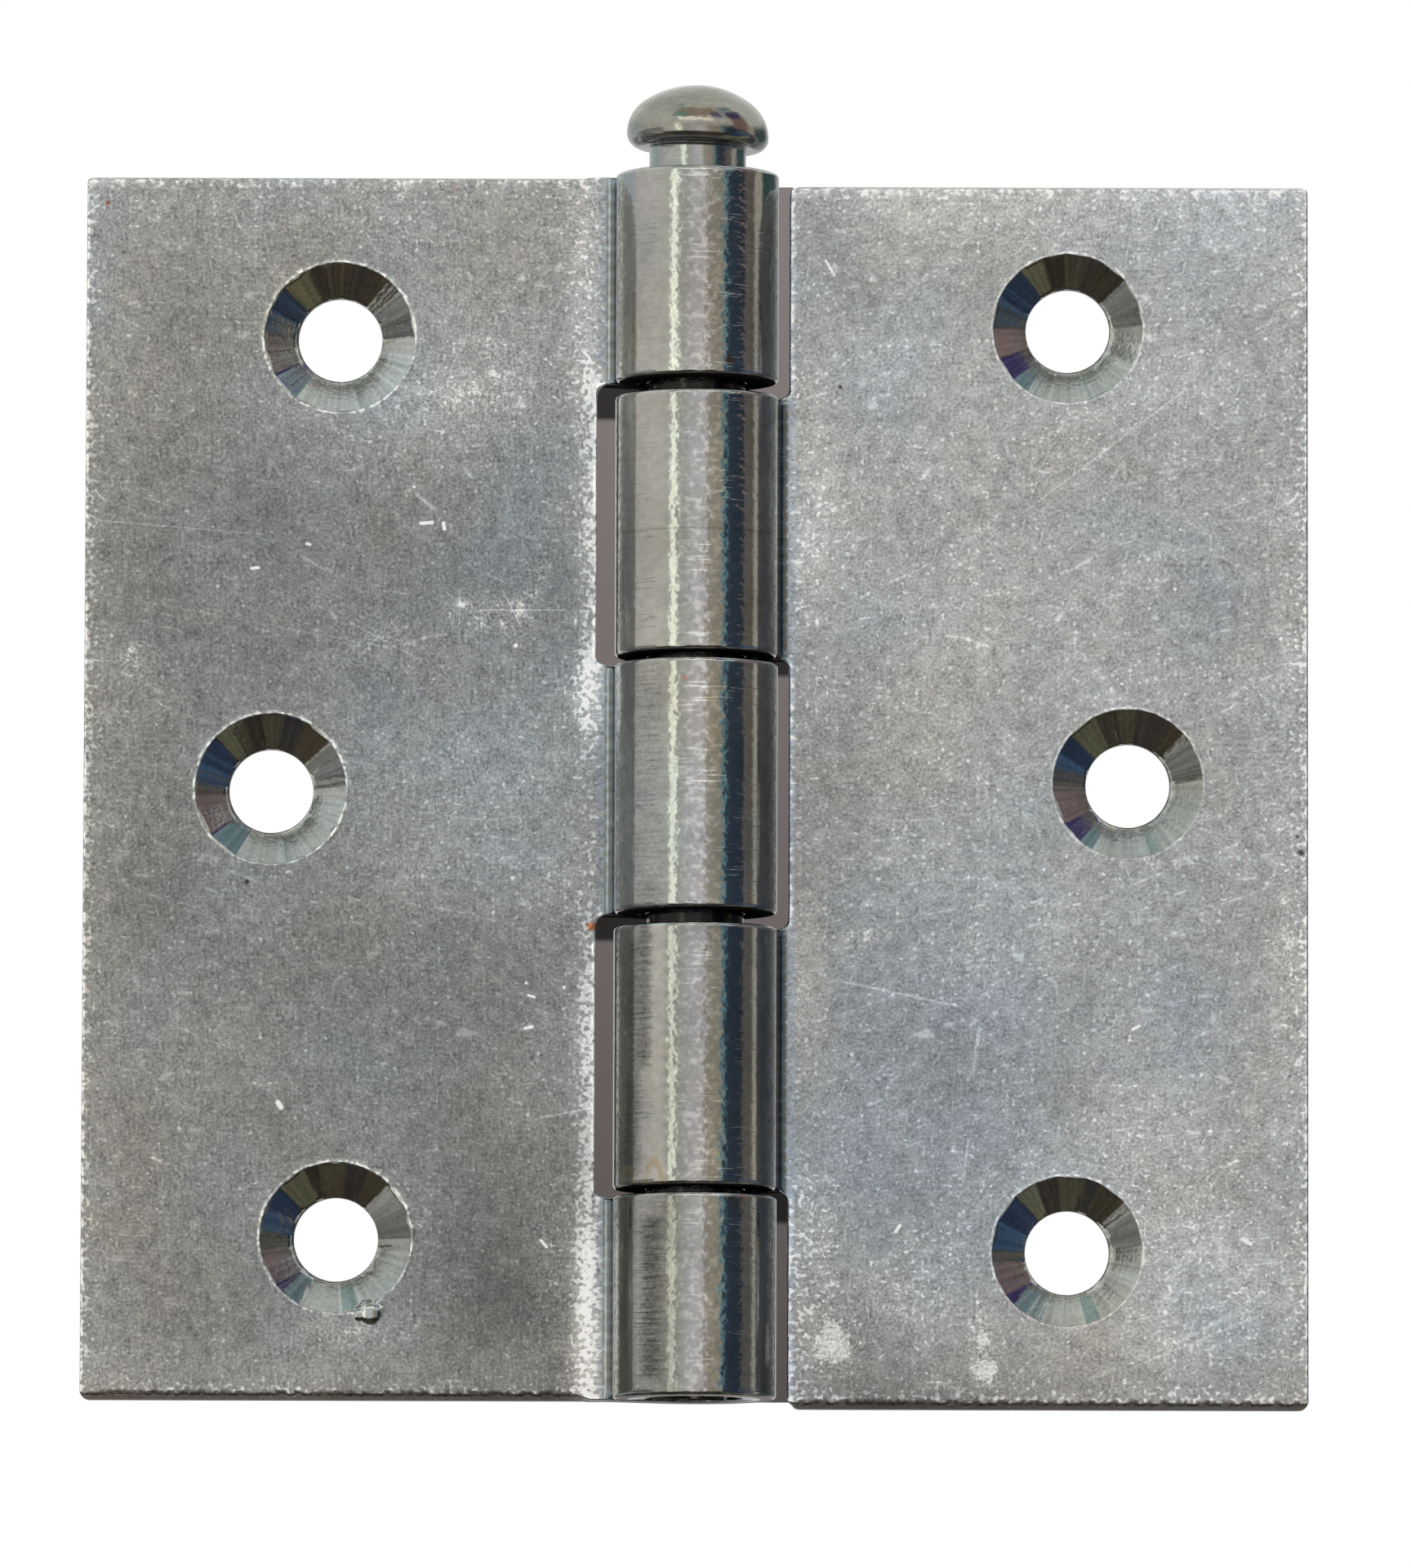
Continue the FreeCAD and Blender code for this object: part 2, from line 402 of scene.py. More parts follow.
def countersink(name, centre, index, flat):
    """How far one countersink, its burr and its chatter take the front down, and where its burr is."""
    way = flat - centre
    radius = np.linalg.norm(way, axis=1)
    close = np.where(radius < COUNTERSINK_R + 1.2)[0]
    radius, turn = radius[close], np.arctan2(way[close, 1], way[close, 0])
    round_rim = np.stack([np.cos(turn), np.sin(turn)], 1)
    foot = foot_radius(turn)
    deepest = SHEET - HOLE_LAND
    counted, steeper = facet_distance(radius, turn, 11 + index + 5 * len(name))
    slope = deepest / (COUNTERSINK_R - hole_r - LEDGE[0])
    cone_depth = (COUNTERSINK_R - counted) * steeper * slope
    foot_depth = (COUNTERSINK_R - foot) * slope
    down = np.minimum(cone_depth, foot_depth).clip(0, deepest)
    on_cone = ramp(radius, foot, foot + 0.3) * ramp(radius, COUNTERSINK_R - 0.02, COUNTERSINK_R - 0.25)
    down += on_cone * CHATTER * wobble(round_rim * 5, 1, 5.5 + 3 * index)
    spells = (0.6 + 1.3 * wobble(round_rim * 2.3, 1, 4.1 + index)).clip(0, 1.2)
    ragged = wobble(round_rim * 9, 1, 7.3 + index) + 0.6 * wobble(round_rim * 26, 1, 3.1 + index)
    least, most = RIM_BURR[name]
    upper_right = 0.5 + 0.5 * np.cos(turn - math.radians(60))
    share = (0.25 + 0.75 * upper_right) * spells * (0.6 + 0.8 * ragged).clip(0.05, 1.3)
    burr = least + (most - least) * share
    bump = np.exp(-(((radius - COUNTERSINK_R - 0.05 - 0.6 * burr) / (0.05 + 0.8 * burr)) ** 2))
    return close, down - burr * bump, bump * (burr / 0.05).clip(0.15, 1)


# Where the press has torn the sheet's edge away at the front, as it does past the cut: how wide that is at
# the top, the bottom and the free edge of a leaf, and how deep
TEAR_TOP, TEAR_BOTTOM, TEAR_FREE = 0.22, 0.3, 0.05
TEAR_DEPTH = 1.0

# The row of beads of plating beside the tear: how far from it, how wide and how high they are, how bright
# their painted glints are on each leaf, and how thick the painted glint specks lie along the edges
BEADS_AWAY = 0.08
BEADS_WIDTH = 0.085
BEADS_HEIGHT = 0.05
EDGE_BEAD_GLINTS = {"fixed_leaf": 1.2, "swing_leaf": 1.0}
EDGE_SPECK_GLINTS = {"fixed_leaf": 1.7, "swing_leaf": 0.9}


def shear_tear(name, flat, edge_mm, ragged):
    """How much of the tear's depth is gone at each point, and how far past the tear the point lies."""
    low, high = height_range(name)
    s, z = flat.T
    uneven = 1 + 0.25 * ragged
    on_plate = uneven if name == "swing_leaf" else ramp(s, flat_end, flat_end - 1.5) * uneven
    torn, past = np.zeros(len(flat)), edge_mm.copy()
    for width, away in ((TEAR_TOP, high - z), (TEAR_BOTTOM, z - low), (TEAR_FREE, s)):
        width = (width * on_plate).clip(1e-3, None)
        beside = away < edge_mm + 0.3
        torn = np.where(beside, np.maximum(torn, 1 - away / width), torn)
        past = np.where(beside, np.minimum(past, away - width), past)
    return torn.clip(0, 1), past


def with_lump(down, way):
    """How deep the front lies with the drop of plating added, and where the drop is, by the way from it."""
    on_lump = np.zeros(len(way), bool)
    for x, z, radius, height in LUMP_CAPS:
        share = 1 - ((way - (x, z)) ** 2).sum(1) / radius ** 2
        on_lump |= share > 0
        cap = LUMP_FOOT - height * np.sqrt(share.clip(0, 1))
        down = np.where(share > 0, np.minimum(down, cap), down)
    return down, on_lump


def rounding(edge_mm, radius):
    """How far the rounding of an edge lies below the sheet's face."""
    short = (radius - edge_mm).clip(0, radius)
    return radius - np.sqrt(radius ** 2 - short ** 2)


def leaf_heights(name, flat, edge_mm, holes):
    """The offsets of the sheet's front and back at each point, and what its finish needs to know."""
    down = np.zeros(len(flat))
    rim = np.zeros(len(flat))
    lump = np.zeros(len(flat), bool)
    hole_mm = np.zeros((len(flat), 3))
    nearest = np.full(len(flat), np.inf)
    for index, centre in enumerate(holes):
        way = flat - centre
        radius = np.linalg.norm(way, axis=1)
        nearer = radius < nearest
        nearest = np.minimum(nearest, radius)
        hole_mm[nearer] = np.column_stack([way, np.full(len(flat), index)])[nearer]
        close, sunk, burr = countersink(name, centre, index, flat)
        down[close] += sunk
        rim[close] = burr
    if name == "fixed_leaf":
        down, lump = with_lump(down, flat - holes[2] - LUMP_FROM_HOLE)
    ragged = np.zeros(len(flat))
    close = np.where(edge_mm < 0.9)[0]
    ragged[close] = wobble(flat[close], 2.7, 1.7) + 0.5 * wobble(flat[close], 7.1, 9.2)
    torn, past_tear = shear_tear(name, flat, edge_mm, ragged)
    down += TEAR_DEPTH * torn
    beaded = np.exp(-((past_tear - BEADS_AWAY) / BEADS_WIDTH) ** 2) * (0.45 + 1.1 * ragged).clip(0, 1.4)
    down -= BEADS_HEIGHT * beaded
    # The burrs and the beads are marked for painted glints.
    rim = np.maximum(rim, EDGE_BEAD_GLINTS[name] * beaded)
    down += rounding(edge_mm, FRONT_EDGE_R)
    up = rounding(edge_mm, BACK_EDGE_R)
    beading = np.exp(-edge_mm / 0.4) * (0.7 + ragged).clip(0, 1.6)
    return -half + down, half - up, {
        "rim": rim, "beading": beading, "hole_mm": hole_mm, "sunk": (nearest < COUNTERSINK_R) | lump,
        "torn": torn > 0,
    }


# The look of the leaves' fronts. Each row is a soft patch: x and z of its middle, its half width and half
# height in millimetres, and how much it adds. Clouds make the plate lighter or darker, and on the fixed leaf
# the rows along the bend, near x -6.7, are a painted highlight. Warmth makes it browner or bluer, thick
# patches are full of light specks, which are painted glints where they lie along the bend and the edges, and
# smears are chalky.
CLOUDS_AND_HIGHLIGHTS = {
    "fixed_leaf": [
        (-20, 36, 30, 4.5, 0.42), (-38, -2, 2.6, 60, 0.2), (-20, -40, 30, 2.6, 0.26),
        (-10.5, -4.5, 8, 6, 0.26), (-12, 26, 6, 6, 0.3), (-12, -30, 8, 7, -0.2), (-30, 30, 5, 4, 0.1),
        (-25, 10, 8, 9, -0.08), (-26, -14, 6, 6, -0.08), (-6.6, -36, 0.9, 7, 1.3),
        (-6.6, 3.4, 0.8, 2.4, 1.1), (-6.8, 29, 1.3, 7, 0.7), (-8.6, -38, 1.6, 5, -0.15),
        (-18, 21, 8, 3.5, 0.32), (-16.5, 28, 2.5, 3, 0.22), (-36, 28, 3, 4, 0.22), (-14, 0, 9, 3.5, 0.18),
        (-17.5, -8, 3, 3, 0.16), (-35.5, 10, 4, 8, -0.12), (-34, -8, 3, 8, -0.12), (-14, -13, 8, 3, -0.12),
        (-17, -18, 4, 5, -0.12), (-32, -20, 6, 3, 0.12), (-12.5, -36, 4, 4, -0.3), (-6.7, -19, 0.8, 7, 0.5),
        (-6.7, 14, 0.8, 8, 0.5), (-12, -40.5, 8, 1.5, -0.28), (-26, -40.5, 14, 2, -0.1),
        (-20.5, -35.5, 3, 2, 0.28), (-7, 22, 1, 8, 0.15),
    ],
    "swing_leaf": [
        (22, 35, 30, 4.0, 0.26), (35, 34, 6, 5, 0.08), (11, 28, 5, 3, -0.08), (8, -6, 3.5, 14, -0.16),
        (12, -22, 8, 16, -0.12), (20, 14, 7, 8, 0.06), (32, -32, 5, 4, 0.12), (16, -29, 4, 5, -0.06),
        (36.5, 12, 1.2, 30, 0.1), (22, -38.5, 24, 2.4, -0.1), (6.7, -34, 1.3, 6, 0.1),
        (7.5, 34, 2, 3, -0.2), (13, 24, 6, 4, 0.17), (30, 24, 6, 3, 0.13), (7.3, 14, 1.8, 7, 0.27),
        (20, 5, 6, 4, 0.13), (7, -4, 2, 4, -0.14), (18, -9, 5, 3, 0.17), (7, -15, 1.5, 6, 0.2),
        (14, -20, 9, 5, -0.1), (28, -24, 4, 3, 0.17), (22, -30, 1.8, 4, 0.28), (33, -32, 3, 2.5, 0.2),
        (28.5, -36.5, 4, 2, 0.22), (9, -37, 5, 4, -0.2), (13, -40.5, 7, 1.6, -0.3),
        (24, -41, 12, 1.5, -0.1),
    ],
}
WARMTH = {
    "fixed_leaf": [
        (-38, 0, 5, 60, 0.5), (-24, -41, 30, 6, 0.6), (-30, 28, 8, 9, 0.5), (-14, 2, 9, 14, -0.7),
        (-7, -36, 2, 6, 0.4), (-34.5, -28, 4, 5, 1.2), (-19, 23, 3, 4, -1.3), (-25, 29, 2.5, 4, 0.9),
        (-37, 29, 3, 5, -0.9), (-12, 31, 5, 6, 0.3),
    ],
    "swing_leaf": [
        (13, -22, 9, 16, -1.2), (20, -38, 30, 4, 0.6), (28, 12, 10, 12, 0.2), (24, 34, 20, 5, 0.3),
        (30, -16, 8, 8, -0.5), (31, 31, 5, 4, -1.0), (31, 9, 4, 5, -0.8), (7, -14, 1.5, 5, 1.0),
        (35.5, -15, 3, 5, 0.9), (33, -36.5, 4, 3, -1.4), (12, -4, 5, 7, 0.5),
    ],
}
SPECKS_AND_GLINTS = {
    "fixed_leaf": [
        (-6.6, -35, 1.0, 8, 2.2), (-6.7, 3.0, 0.9, 3.4, 1.6), (-6.7, -5, 0.8, 5, 0.6),
        (-7.0, 29, 1.4, 8, 0.7), (-6.35, 22.2, 0.6, 0.8, 3.0), (-6.35, 5.4, 0.5, 0.6, 2.0),
        (-20, 36, 30, 3, 0.3), (-38, 0, 0.7, 60, 1.2), (-6.6, -20, 0.7, 12, 1.7), (-6.6, 14, 0.7, 10, 1.5),
        (-20, -40.4, 30, 0.8, 0.8), (-14, 21, 10, 5, 0.35), (-9, -12, 5, 20, 0.1),
    ],
    "swing_leaf": [
        (6.9, -34, 1.3, 7, 1.2), (7.0, 12, 1.2, 9, 0.6), (20, 36, 30, 1.6, 0.5), (37.6, 0, 0.8, 60, 0.8),
        (20, -40.6, 30, 0.9, 0.9), (24, -26, 10, 4, 0.3), (33, -33, 5, 5, 0.4), (14, -35, 8, 5, 0.2),
    ],
}
SMEARS = {
    "fixed_leaf": [
        (-10.1, 9.4, 0.35, 0.35, 0.9), (-14.4, 8.75, 0.45, 0.3, 0.8), (-13.65, 7.6, 0.5, 0.35, 0.7),
        (-11.9, 7.5, 0.4, 0.4, 0.8), (-11.0, 8.5, 0.45, 0.5, 0.85), (-12.4, 8.3, 2.6, 1.3, 0.34),
        (-19.4, 6.5, 2.6, 1.5, 0.36), (-9.6, 10.6, 0.3, 0.5, 0.9), (-35.2, 5.2, 0.9, 1.1, 0.6),
        (-17.0, -7.7, 0.8, 0.8, 0.3), (-9.0, -33, 1.2, 4.5, 0.25), (-16.5, 21.5, 4.5, 2.2, 0.35),
        (-12.5, 23.5, 2.5, 4, 0.35), (-21.5, -36.5, 2.4, 1.0, 0.5),
    ],
    "swing_leaf": [
        (8.6, -37.4, 0.85, 1.1, 1.4), (9.0, -36.6, 1.8, 2.0, 0.42), (17.9, -37.3, 0.8, 2.4, 0.74),
        (18.2, -38.9, 0.8, 0.8, 0.6), (13.5, -34.7, 3.2, 2.4, 0.42), (8.2, -31.5, 0.7, 3.6, 0.5),
        (11.2, -11.8, 2.2, 0.3, 0.5), (16.9, -11.8, 1.6, 0.3, 0.5), (10.2, -12.0, 0.7, 0.5, 0.4),
        (12.2, 33.5, 2.4, 1.2, 0.45), (29, -33.4, 2.4, 3.6, 0.42), (33.8, -34.4, 1.0, 1.6, 0.6),
        (36.6, 6, 0.7, 22, 0.25), (27, -25, 4, 2, 0.3), (30.5, -37.4, 3.4, 0.8, 0.45),
        (30.5, -29.5, 3.5, 1.6, 0.3), (36.8, -12.5, 0.8, 3.0, 0.5),
    ],
}

# Small bright painted glints and longer faint scratches on each leaf's front, as the x and z of both ends,
# half the width, and how bright they are, and pits in both leaves, as x, z and radius
GLINTS = {
    "fixed_leaf": [
        (-17.13, 13.79, -16.42, 13.85, 0.1, 3.5), (-15.72, 13.8, -15.66, 13.45, 0.11, 3.5),
        (-17.55, 16.07, -17.55, 16.07, 0.09, 3), (-11.2, 6.18, -11.2, 6.18, 0.13, 3),
        (-10.52, -17.64, -10.09, -17.55, 0.1, 3), (-10.46, -14.83, -10.46, -14.83, 0.1, 2.5),
        (-10.33, -15.6, -9.96, -15.7, 0.08, 2.5), (-8.12, -15.1, -8.12, -15.1, 0.1, 3),
        (-9.5, -30.8, -9.15, -31.2, 0.09, 3), (-24.2, 12.5, -24.0, 12.45, 0.1, 2.5),
        (-27.6, 10.95, -27.2, 11.0, 0.1, 3), (-17.4, 15.6, -16.3, 14.7, 0.11, 0.9),
        (-25.8, -22.3, -25.6, -22.6, 0.16, 3), (-5.95, -22.5, -9.5, -23.2, 0.06, 0.6),
        (-13.15, 8.4, -8.1, 8.4, 0.05, 0.7), (-14.7, 9.6, -14.7, 7.5, 0.05, 0.9),
        (-15.5, 9.5, -12.8, 7.2, 0.04, 0.6), (-12.0, 9.6, -10.9, 7.4, 0.04, 0.7),
        (-21.5, 7.6, -17.0, 5.2, 0.04, 0.5), (-20.8, 5.6, -18.5, 8.0, 0.04, 0.5),
        (-37.0, 13.9, -27.2, 13.1, 0.05, 0.45), (-37.2, 9.4, -19.0, 6.0, 0.05, 0.3),
    ],
    "swing_leaf": [
        (9.2, -14.7, 16.3, -16.2, 0.08, 0.5), (20.6, 14.8, 30.5, 22.4, 0.06, 0.35),
        (24.4, -39.3, 36.1, -34.2, 0.16, 0.18), (27, -38.6, 35, -35.3, 0.08, 0.25),
        (30, -37.0, 35.5, -33.8, 0.12, 0.2), (12.45, -30.2, 12.7, -29.8, 0.09, 3),
        (16.9, -24.6, 16.6, -27.1, 0.08, 0.45), (17.6, -17.6, 17.2, -20.3, 0.12, 0.4),
        (8.0, 30.3, 8.5, 29.4, 0.09, 1.3), (7.6, 15.0, 7.6, 15.0, 0.12, 2.2),
        (27.1, -17.6, 27.5, -17.4, 0.09, 2), (33.9, -30.6, 34.4, -30.9, 0.1, 2.5),
        (15.8, -31.6, 15.8, -31.6, 0.09, 2),
    ],
}
PITS = {
    "fixed_leaf": [(-27.8, -8.6, 0.16), (-5.9, 31.4, 0.14)],
    "swing_leaf": [(5.5, -21.6, 0.14), (8.9, 22.4, 0.14), (37.5, -6.6, 0.22), (37.3, -5.6, 0.12)],
}

# The look of the knuckles. Each row lies between two heights and between two angles round the pin, counted
# to the right from the front. Rubbed rows say how dark the plate is worn there. Shading rows are painted
# light and shade: how much lighter the plate is painted there, and how much browner, so that the highlight
# fades and the left sides darken down the lower knuckles.
RUBBED = [
    (22.5, 35.5, -50, -22, 0.16), (5.5, 21.5, -50, -22, 0.08), (-10.5, 4.8, -50, -22, 0.30),
    (-27.5, -11.5, -50, -22, 0.12), (-40.6, -28.3, -44, -20, 0.34), (-9.9, -9.0, -48, -28, 0.5),
    (-20.5, -11.3, -43, -34, 0.75), (-20.5, -12.5, -54, -40, 0.5), (-27.2, -20.5, -58, -41, 0.5),
    (-39.7, -29.6, -40, -23, 0.85), (-41, -39.4, -44, -24, 0.4),
]
PAINTED_SHADING = [
    (-10.6, 5, -80, -45, -0.12, -0.2), (-27.8, -11.4, -80, -45, -0.30, 0.0),
    (-41, -28, -80, -45, -0.38, 0.3), (5, 22, -50, -20, 0.05, 0.5), (22, 36, -50, -20, 0.06, 0.3),
    (-27.8, -11.4, -32, -20, 0.12, 0.4), (-41, -28, -32, -10, -0.12, 0.3), (5, 22, -21, -13, -0.08, 0.0),
    (-10.6, 5, -21, -13, -0.18, 0.0), (-27.8, -11.4, -21, -13, -0.32, 0.0), (-41, -28, -21, -13, -0.4, 0.0),
    (-41, -11, -10, 12, -0.08, 0.0), (-10.6, 36, 24, 38, 0.1, 0.0), (22, 36, -10, 10, -0.04, 0.3),
]

# Tan stains that drops have left on the knuckles, as the leaf, the angle, the height and their half sizes,
# small rusty spots, as the leaf, the angle, the height and the radius, and the height of a scratch right
# round
DRIED_DROPS = [("swing_leaf", -30.1, -27.6, 0.52, 1.5), ("swing_leaf", -54.3, -27.5, 0.56, 1.0)]
RUST_SPOTS = [("fixed_leaf", 23, 23.4, 0.3), ("fixed_leaf", -8, 3.6, 0.12)]
ROUND_SCRATCH_Z = 12.9

# Rust on the fixed leaf's front, in the corner of its lower notch and near its top, as x, z and radius
RUSTY_PLACES = [(-6.44, -11.3, 0.27), (-36.7, 33.8, 0.13)]


def patches(rows, x, z):
    total = np.zeros(len(x))
    for middle_x, middle_z, half_x, half_z, gain in rows:
        total += gain * np.exp(-((x - middle_x) / half_x) ** 2 - ((z - middle_z) / half_z) ** 2)
    return total


def cloudy(points, scale, octaves=3):
    """Cloudy noise, mostly between -1 and 1, at each point in space."""
    scaled = (points * scale).tolist()
    return np.array([noise.fractal(Vector(p), 0.7, 2.1, octaves) for p in scaled]) * 1.2


def tinted(value, warmth):
    """A grey tint of that value, turned towards brown by warmth above 0 and towards blue below it."""
    return np.stack([value * (1 + 0.06 * warmth), value, value * (1 - 0.08 * warmth)], 1)


# Where in the noise each leaf's clouds are, and how much lighter and bluer the crank is painted, as a
# painted reflection
CLOUDS_FROM = {"fixed_leaf": 40.0, "swing_leaf": 80.0}
CRANK_PAINTED_LIGHT = 0.35
CRANK_PAINTED_BLUE = 2.0


def leaf_finish(name, places, masks, front, x, y):
    """What the finish needs at each point of a leaf, from places given as s, z and offset."""
    z = places[:, 1]
    on_front = np.where(front, 1.0, 0.0)
    away = CLOUDS_FROM[name]
    clouds = 0.10 * cloudy(places + (away, 0, 0), 0.16) + 0.07 * cloudy(places + (0, away, 0), 0.7)
    # Besides the plate's own clouds, this paints a highlight along the fixed leaf's bend.
    value = 1 + clouds + on_front * patches(CLOUDS_AND_HIGHLIGHTS[name], x, z)
    warmth = 0.5 * cloudy(places + (0, 0, away), 0.13) + on_front * patches(WARMTH[name], x, z)
    # The crank is painted lighter and bluer: a painted reflection.
    cranked = on_front * ramp(places[:, 0], flat_end - 0.1, flat_end + 0.3)
    cranked *= ramp(places[:, 0], slope_end + 0.5, slope_end)
    value *= 1 + CRANK_PAINTED_LIGHT * cranked
    warmth -= CRANK_PAINTED_BLUE * cranked
    angle = np.degrees(np.arctan2(x, -y))
    rolled_up = (places[:, 0] > slope_end) & (np.hypot(x, y) > roll_r)
    rubbed = np.zeros(len(x))
    for *where, most in RUBBED:
        rubbed = np.maximum(rubbed, most * within(angle, z, where))
    # Painted light and shade on the knuckles.
    for *where, lighter, browner in PAINTED_SHADING:
        share = rolled_up * within(angle, z, where)
        value += lighter * share
        warmth += browner * share
    return {
        "tint": tinted(value.clip(0.3, 3), warmth),
        # Specks: the plate's own, and painted glints along the bend and the edges.
        "specks": on_front * (masks["beading"] * EDGE_SPECK_GLINTS[name] + 2 * clouds + patches(SPECKS_AND_GLINTS[name], x, z)),
        "smears": on_front * patches(SMEARS[name], x, z),
        # Where highlights are painted at the front of the knuckles.
        "bead_glints": rolled_up * between(angle, -9, 19, 5, 5),
        "grainy": rolled_up * ramp(angle, -26, -19) * ramp(angle, 42, 34),
        "rubbed": rolled_up * rubbed,
    }


def within(angle, z, where):
    """1 inside a stretch of a knuckle, given as low z, high z, left and right angle, and 0 outside it."""
    low, high, left, right = where
    return between(angle, left, right, 2, 2) * between(z, low, high, 0.4, 0.3)


def on_roll(name, angle, z):
    """The place on the blank of a spot on a knuckle's outside, at an angle to the right from the front."""
    way_round = math.radians(180 + (angle if name == "swing_leaf" else -angle)) + CRANK_ANGLE
    return slope_end + roll_r * way_round, z, half


def new_mesh(name, vertices, faces, materials, slots=None):
    mesh = bpy.data.meshes.new(name)
    mesh.from_pydata((np.asarray(vertices) / 1000).tolist(), [], faces)
    for material in materials:
        mesh.materials.append(material)
    if slots is not None:
        mesh.polygons.foreach_set("material_index", slots.astype(np.int32))
    mesh.shade_smooth()
    piece = bpy.data.objects.new(name, mesh)
    bpy.context.scene.collection.objects.link(piece)
    return piece


def add_attributes(piece, values_by_name):
    for key, values in values_by_name.items():
        if values.ndim == 1:
            layer = piece.data.attributes.new(key, "FLOAT", "POINT")
            layer.data.foreach_set("value", values.astype(np.float32))
        else:
            layer = piece.data.attributes.new(key, "FLOAT_VECTOR", "POINT")
            layer.data.foreach_set("vector", values.astype(np.float32).ravel())


# The order of a leaf's materials
FLAT, ROLL, SINK, SHEARED, SHADED_GAP = range(5)


def in_gaps(name, corners):
    """Which walls of a leaf face the gaps between the knuckles, from their corners' places on the blank."""
    low, high = height_range(name)
    spread = np.ptp(corners, axis=1)
    s, z = corners.mean(1).T
    outer = (name == "fixed_leaf") & ((z < low + 1) | (z > high - 1))
    return (spread[:, 1] < 0.3 * spread[:, 0]) & (s > notch_edge(name) + 0.3) & ~outer


def sheet_shell(flat, faces, front, back):
    """The sheet with its front, its back and the sheared wall between them.

    That is each point's origin on the blank and its offset, the faces of the front and then of the back, and
    the faces of the wall."""
    edges = loose_edges(faces)
    rim_points = np.unique(edges)
    column = np.full(len(flat), -1)
    column[rim_points] = np.arange(len(rim_points))
    count, rim_count = len(flat), len(rim_points)
    origin = np.concatenate([np.arange(count), np.arange(count)] + [rim_points] * len(WALL_ROWS))
    offsets = np.concatenate([front, back] + [
        front[rim_points] + (back - front)[rim_points] * share for share in WALL_ROWS
    ])
    wall_rows = [2 * count + column[edges] + i * rim_count for i in range(len(WALL_ROWS))]
    rows = [edges, *wall_rows, edges + count]
    walls = np.concatenate([
        np.column_stack([upper[:, ::-1], lower]) for upper, lower in zip(rows, rows[1:])
    ])
    return origin, offsets, np.concatenate([faces, faces[:, ::-1] + count]), walls


def leaf_slots(name, flat, masks, sheets, walls):
    """The material of each face, from the places on the blank that its corners come from."""
    middles = flat[sheets].mean(1)
    slots = np.where(middles[:, 0] > flat_end + 0.3 * (bend_end - flat_end), ROLL, FLAT)
    at_front = np.arange(len(sheets)) < len(sheets) // 2
    for mask, slot in (("sunk", SINK), ("torn", SHEARED)):
        slots[at_front & masks[mask][sheets].all(1)] = slot
    in_hole = np.linalg.norm(masks["hole_mm"][walls[:, 0], :2], axis=1) < COUNTERSINK_R
    wall_slots = np.where(in_hole, SINK, SHEARED)
    # The walls that face the gaps between the knuckles get the painted shade.
    wall_slots[in_gaps(name, flat[walls])] = SHADED_GAP
    return np.concatenate([slots, wall_slots])


def leaf_piece(name, side, materials):
    """One leaf as a single rolled sheet, to the left for side 1 and to the right for side -1."""
    holes = holes_of(name)
    points, outline_count, edge_tree = blank_points(name, holes)
    flat, faces = triangles(points, outline_count, holes)
    front, back, masks = leaf_heights(name, flat, away_from(edge_tree, flat), holes)
    origin, offsets, sheets, walls = sheet_shell(flat, faces, front, back)
    x, y = rolled(flat[origin, 0], offsets)
    x = side * x
    all_faces = sheets.tolist() + walls.tolist()
    if side < 0:
        all_faces = [face[::-1] for face in all_faces]
    slots = leaf_slots(name, flat, masks, origin[sheets], origin[walls])

    places = np.column_stack([flat[origin], offsets])
    spread = {key: values[origin] for key, values in masks.items()}
    is_front = (np.arange(len(origin)) < len(flat)) & (places[:, 0] < bend_end)
    finish = leaf_finish(name, places, spread, is_front, x, y)
    finish["rim"] = np.where(is_front, spread["rim"], 0)
    finish["hole_mm"] = spread["hole_mm"]
    finish["flat_mm"] = places
    piece = new_mesh(name + "_sheet", np.column_stack([x, y, places[:, 1]]), all_faces, materials, slots)
    add_attributes(piece, finish)
    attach(piece, name)
    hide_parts(name)


def oval_radii(half_width, half_height):
    """The two radii of the arcs that draw an oval close to an ellipse: at its ends, and across its crown."""
    diagonal = math.hypot(half_width, half_height)
    excess = (half_width - half_height) * diagonal
    return (diagonal ** 2 - excess) / (2 * half_width), (diagonal ** 2 + excess) / (2 * half_height)


def arc_points(centre, radius, start, end, steps):
    turn = np.radians(np.linspace(start, end, steps))
    return [(centre[0] + radius * math.cos(t), centre[1] + radius * math.sin(t)) for t in turn]


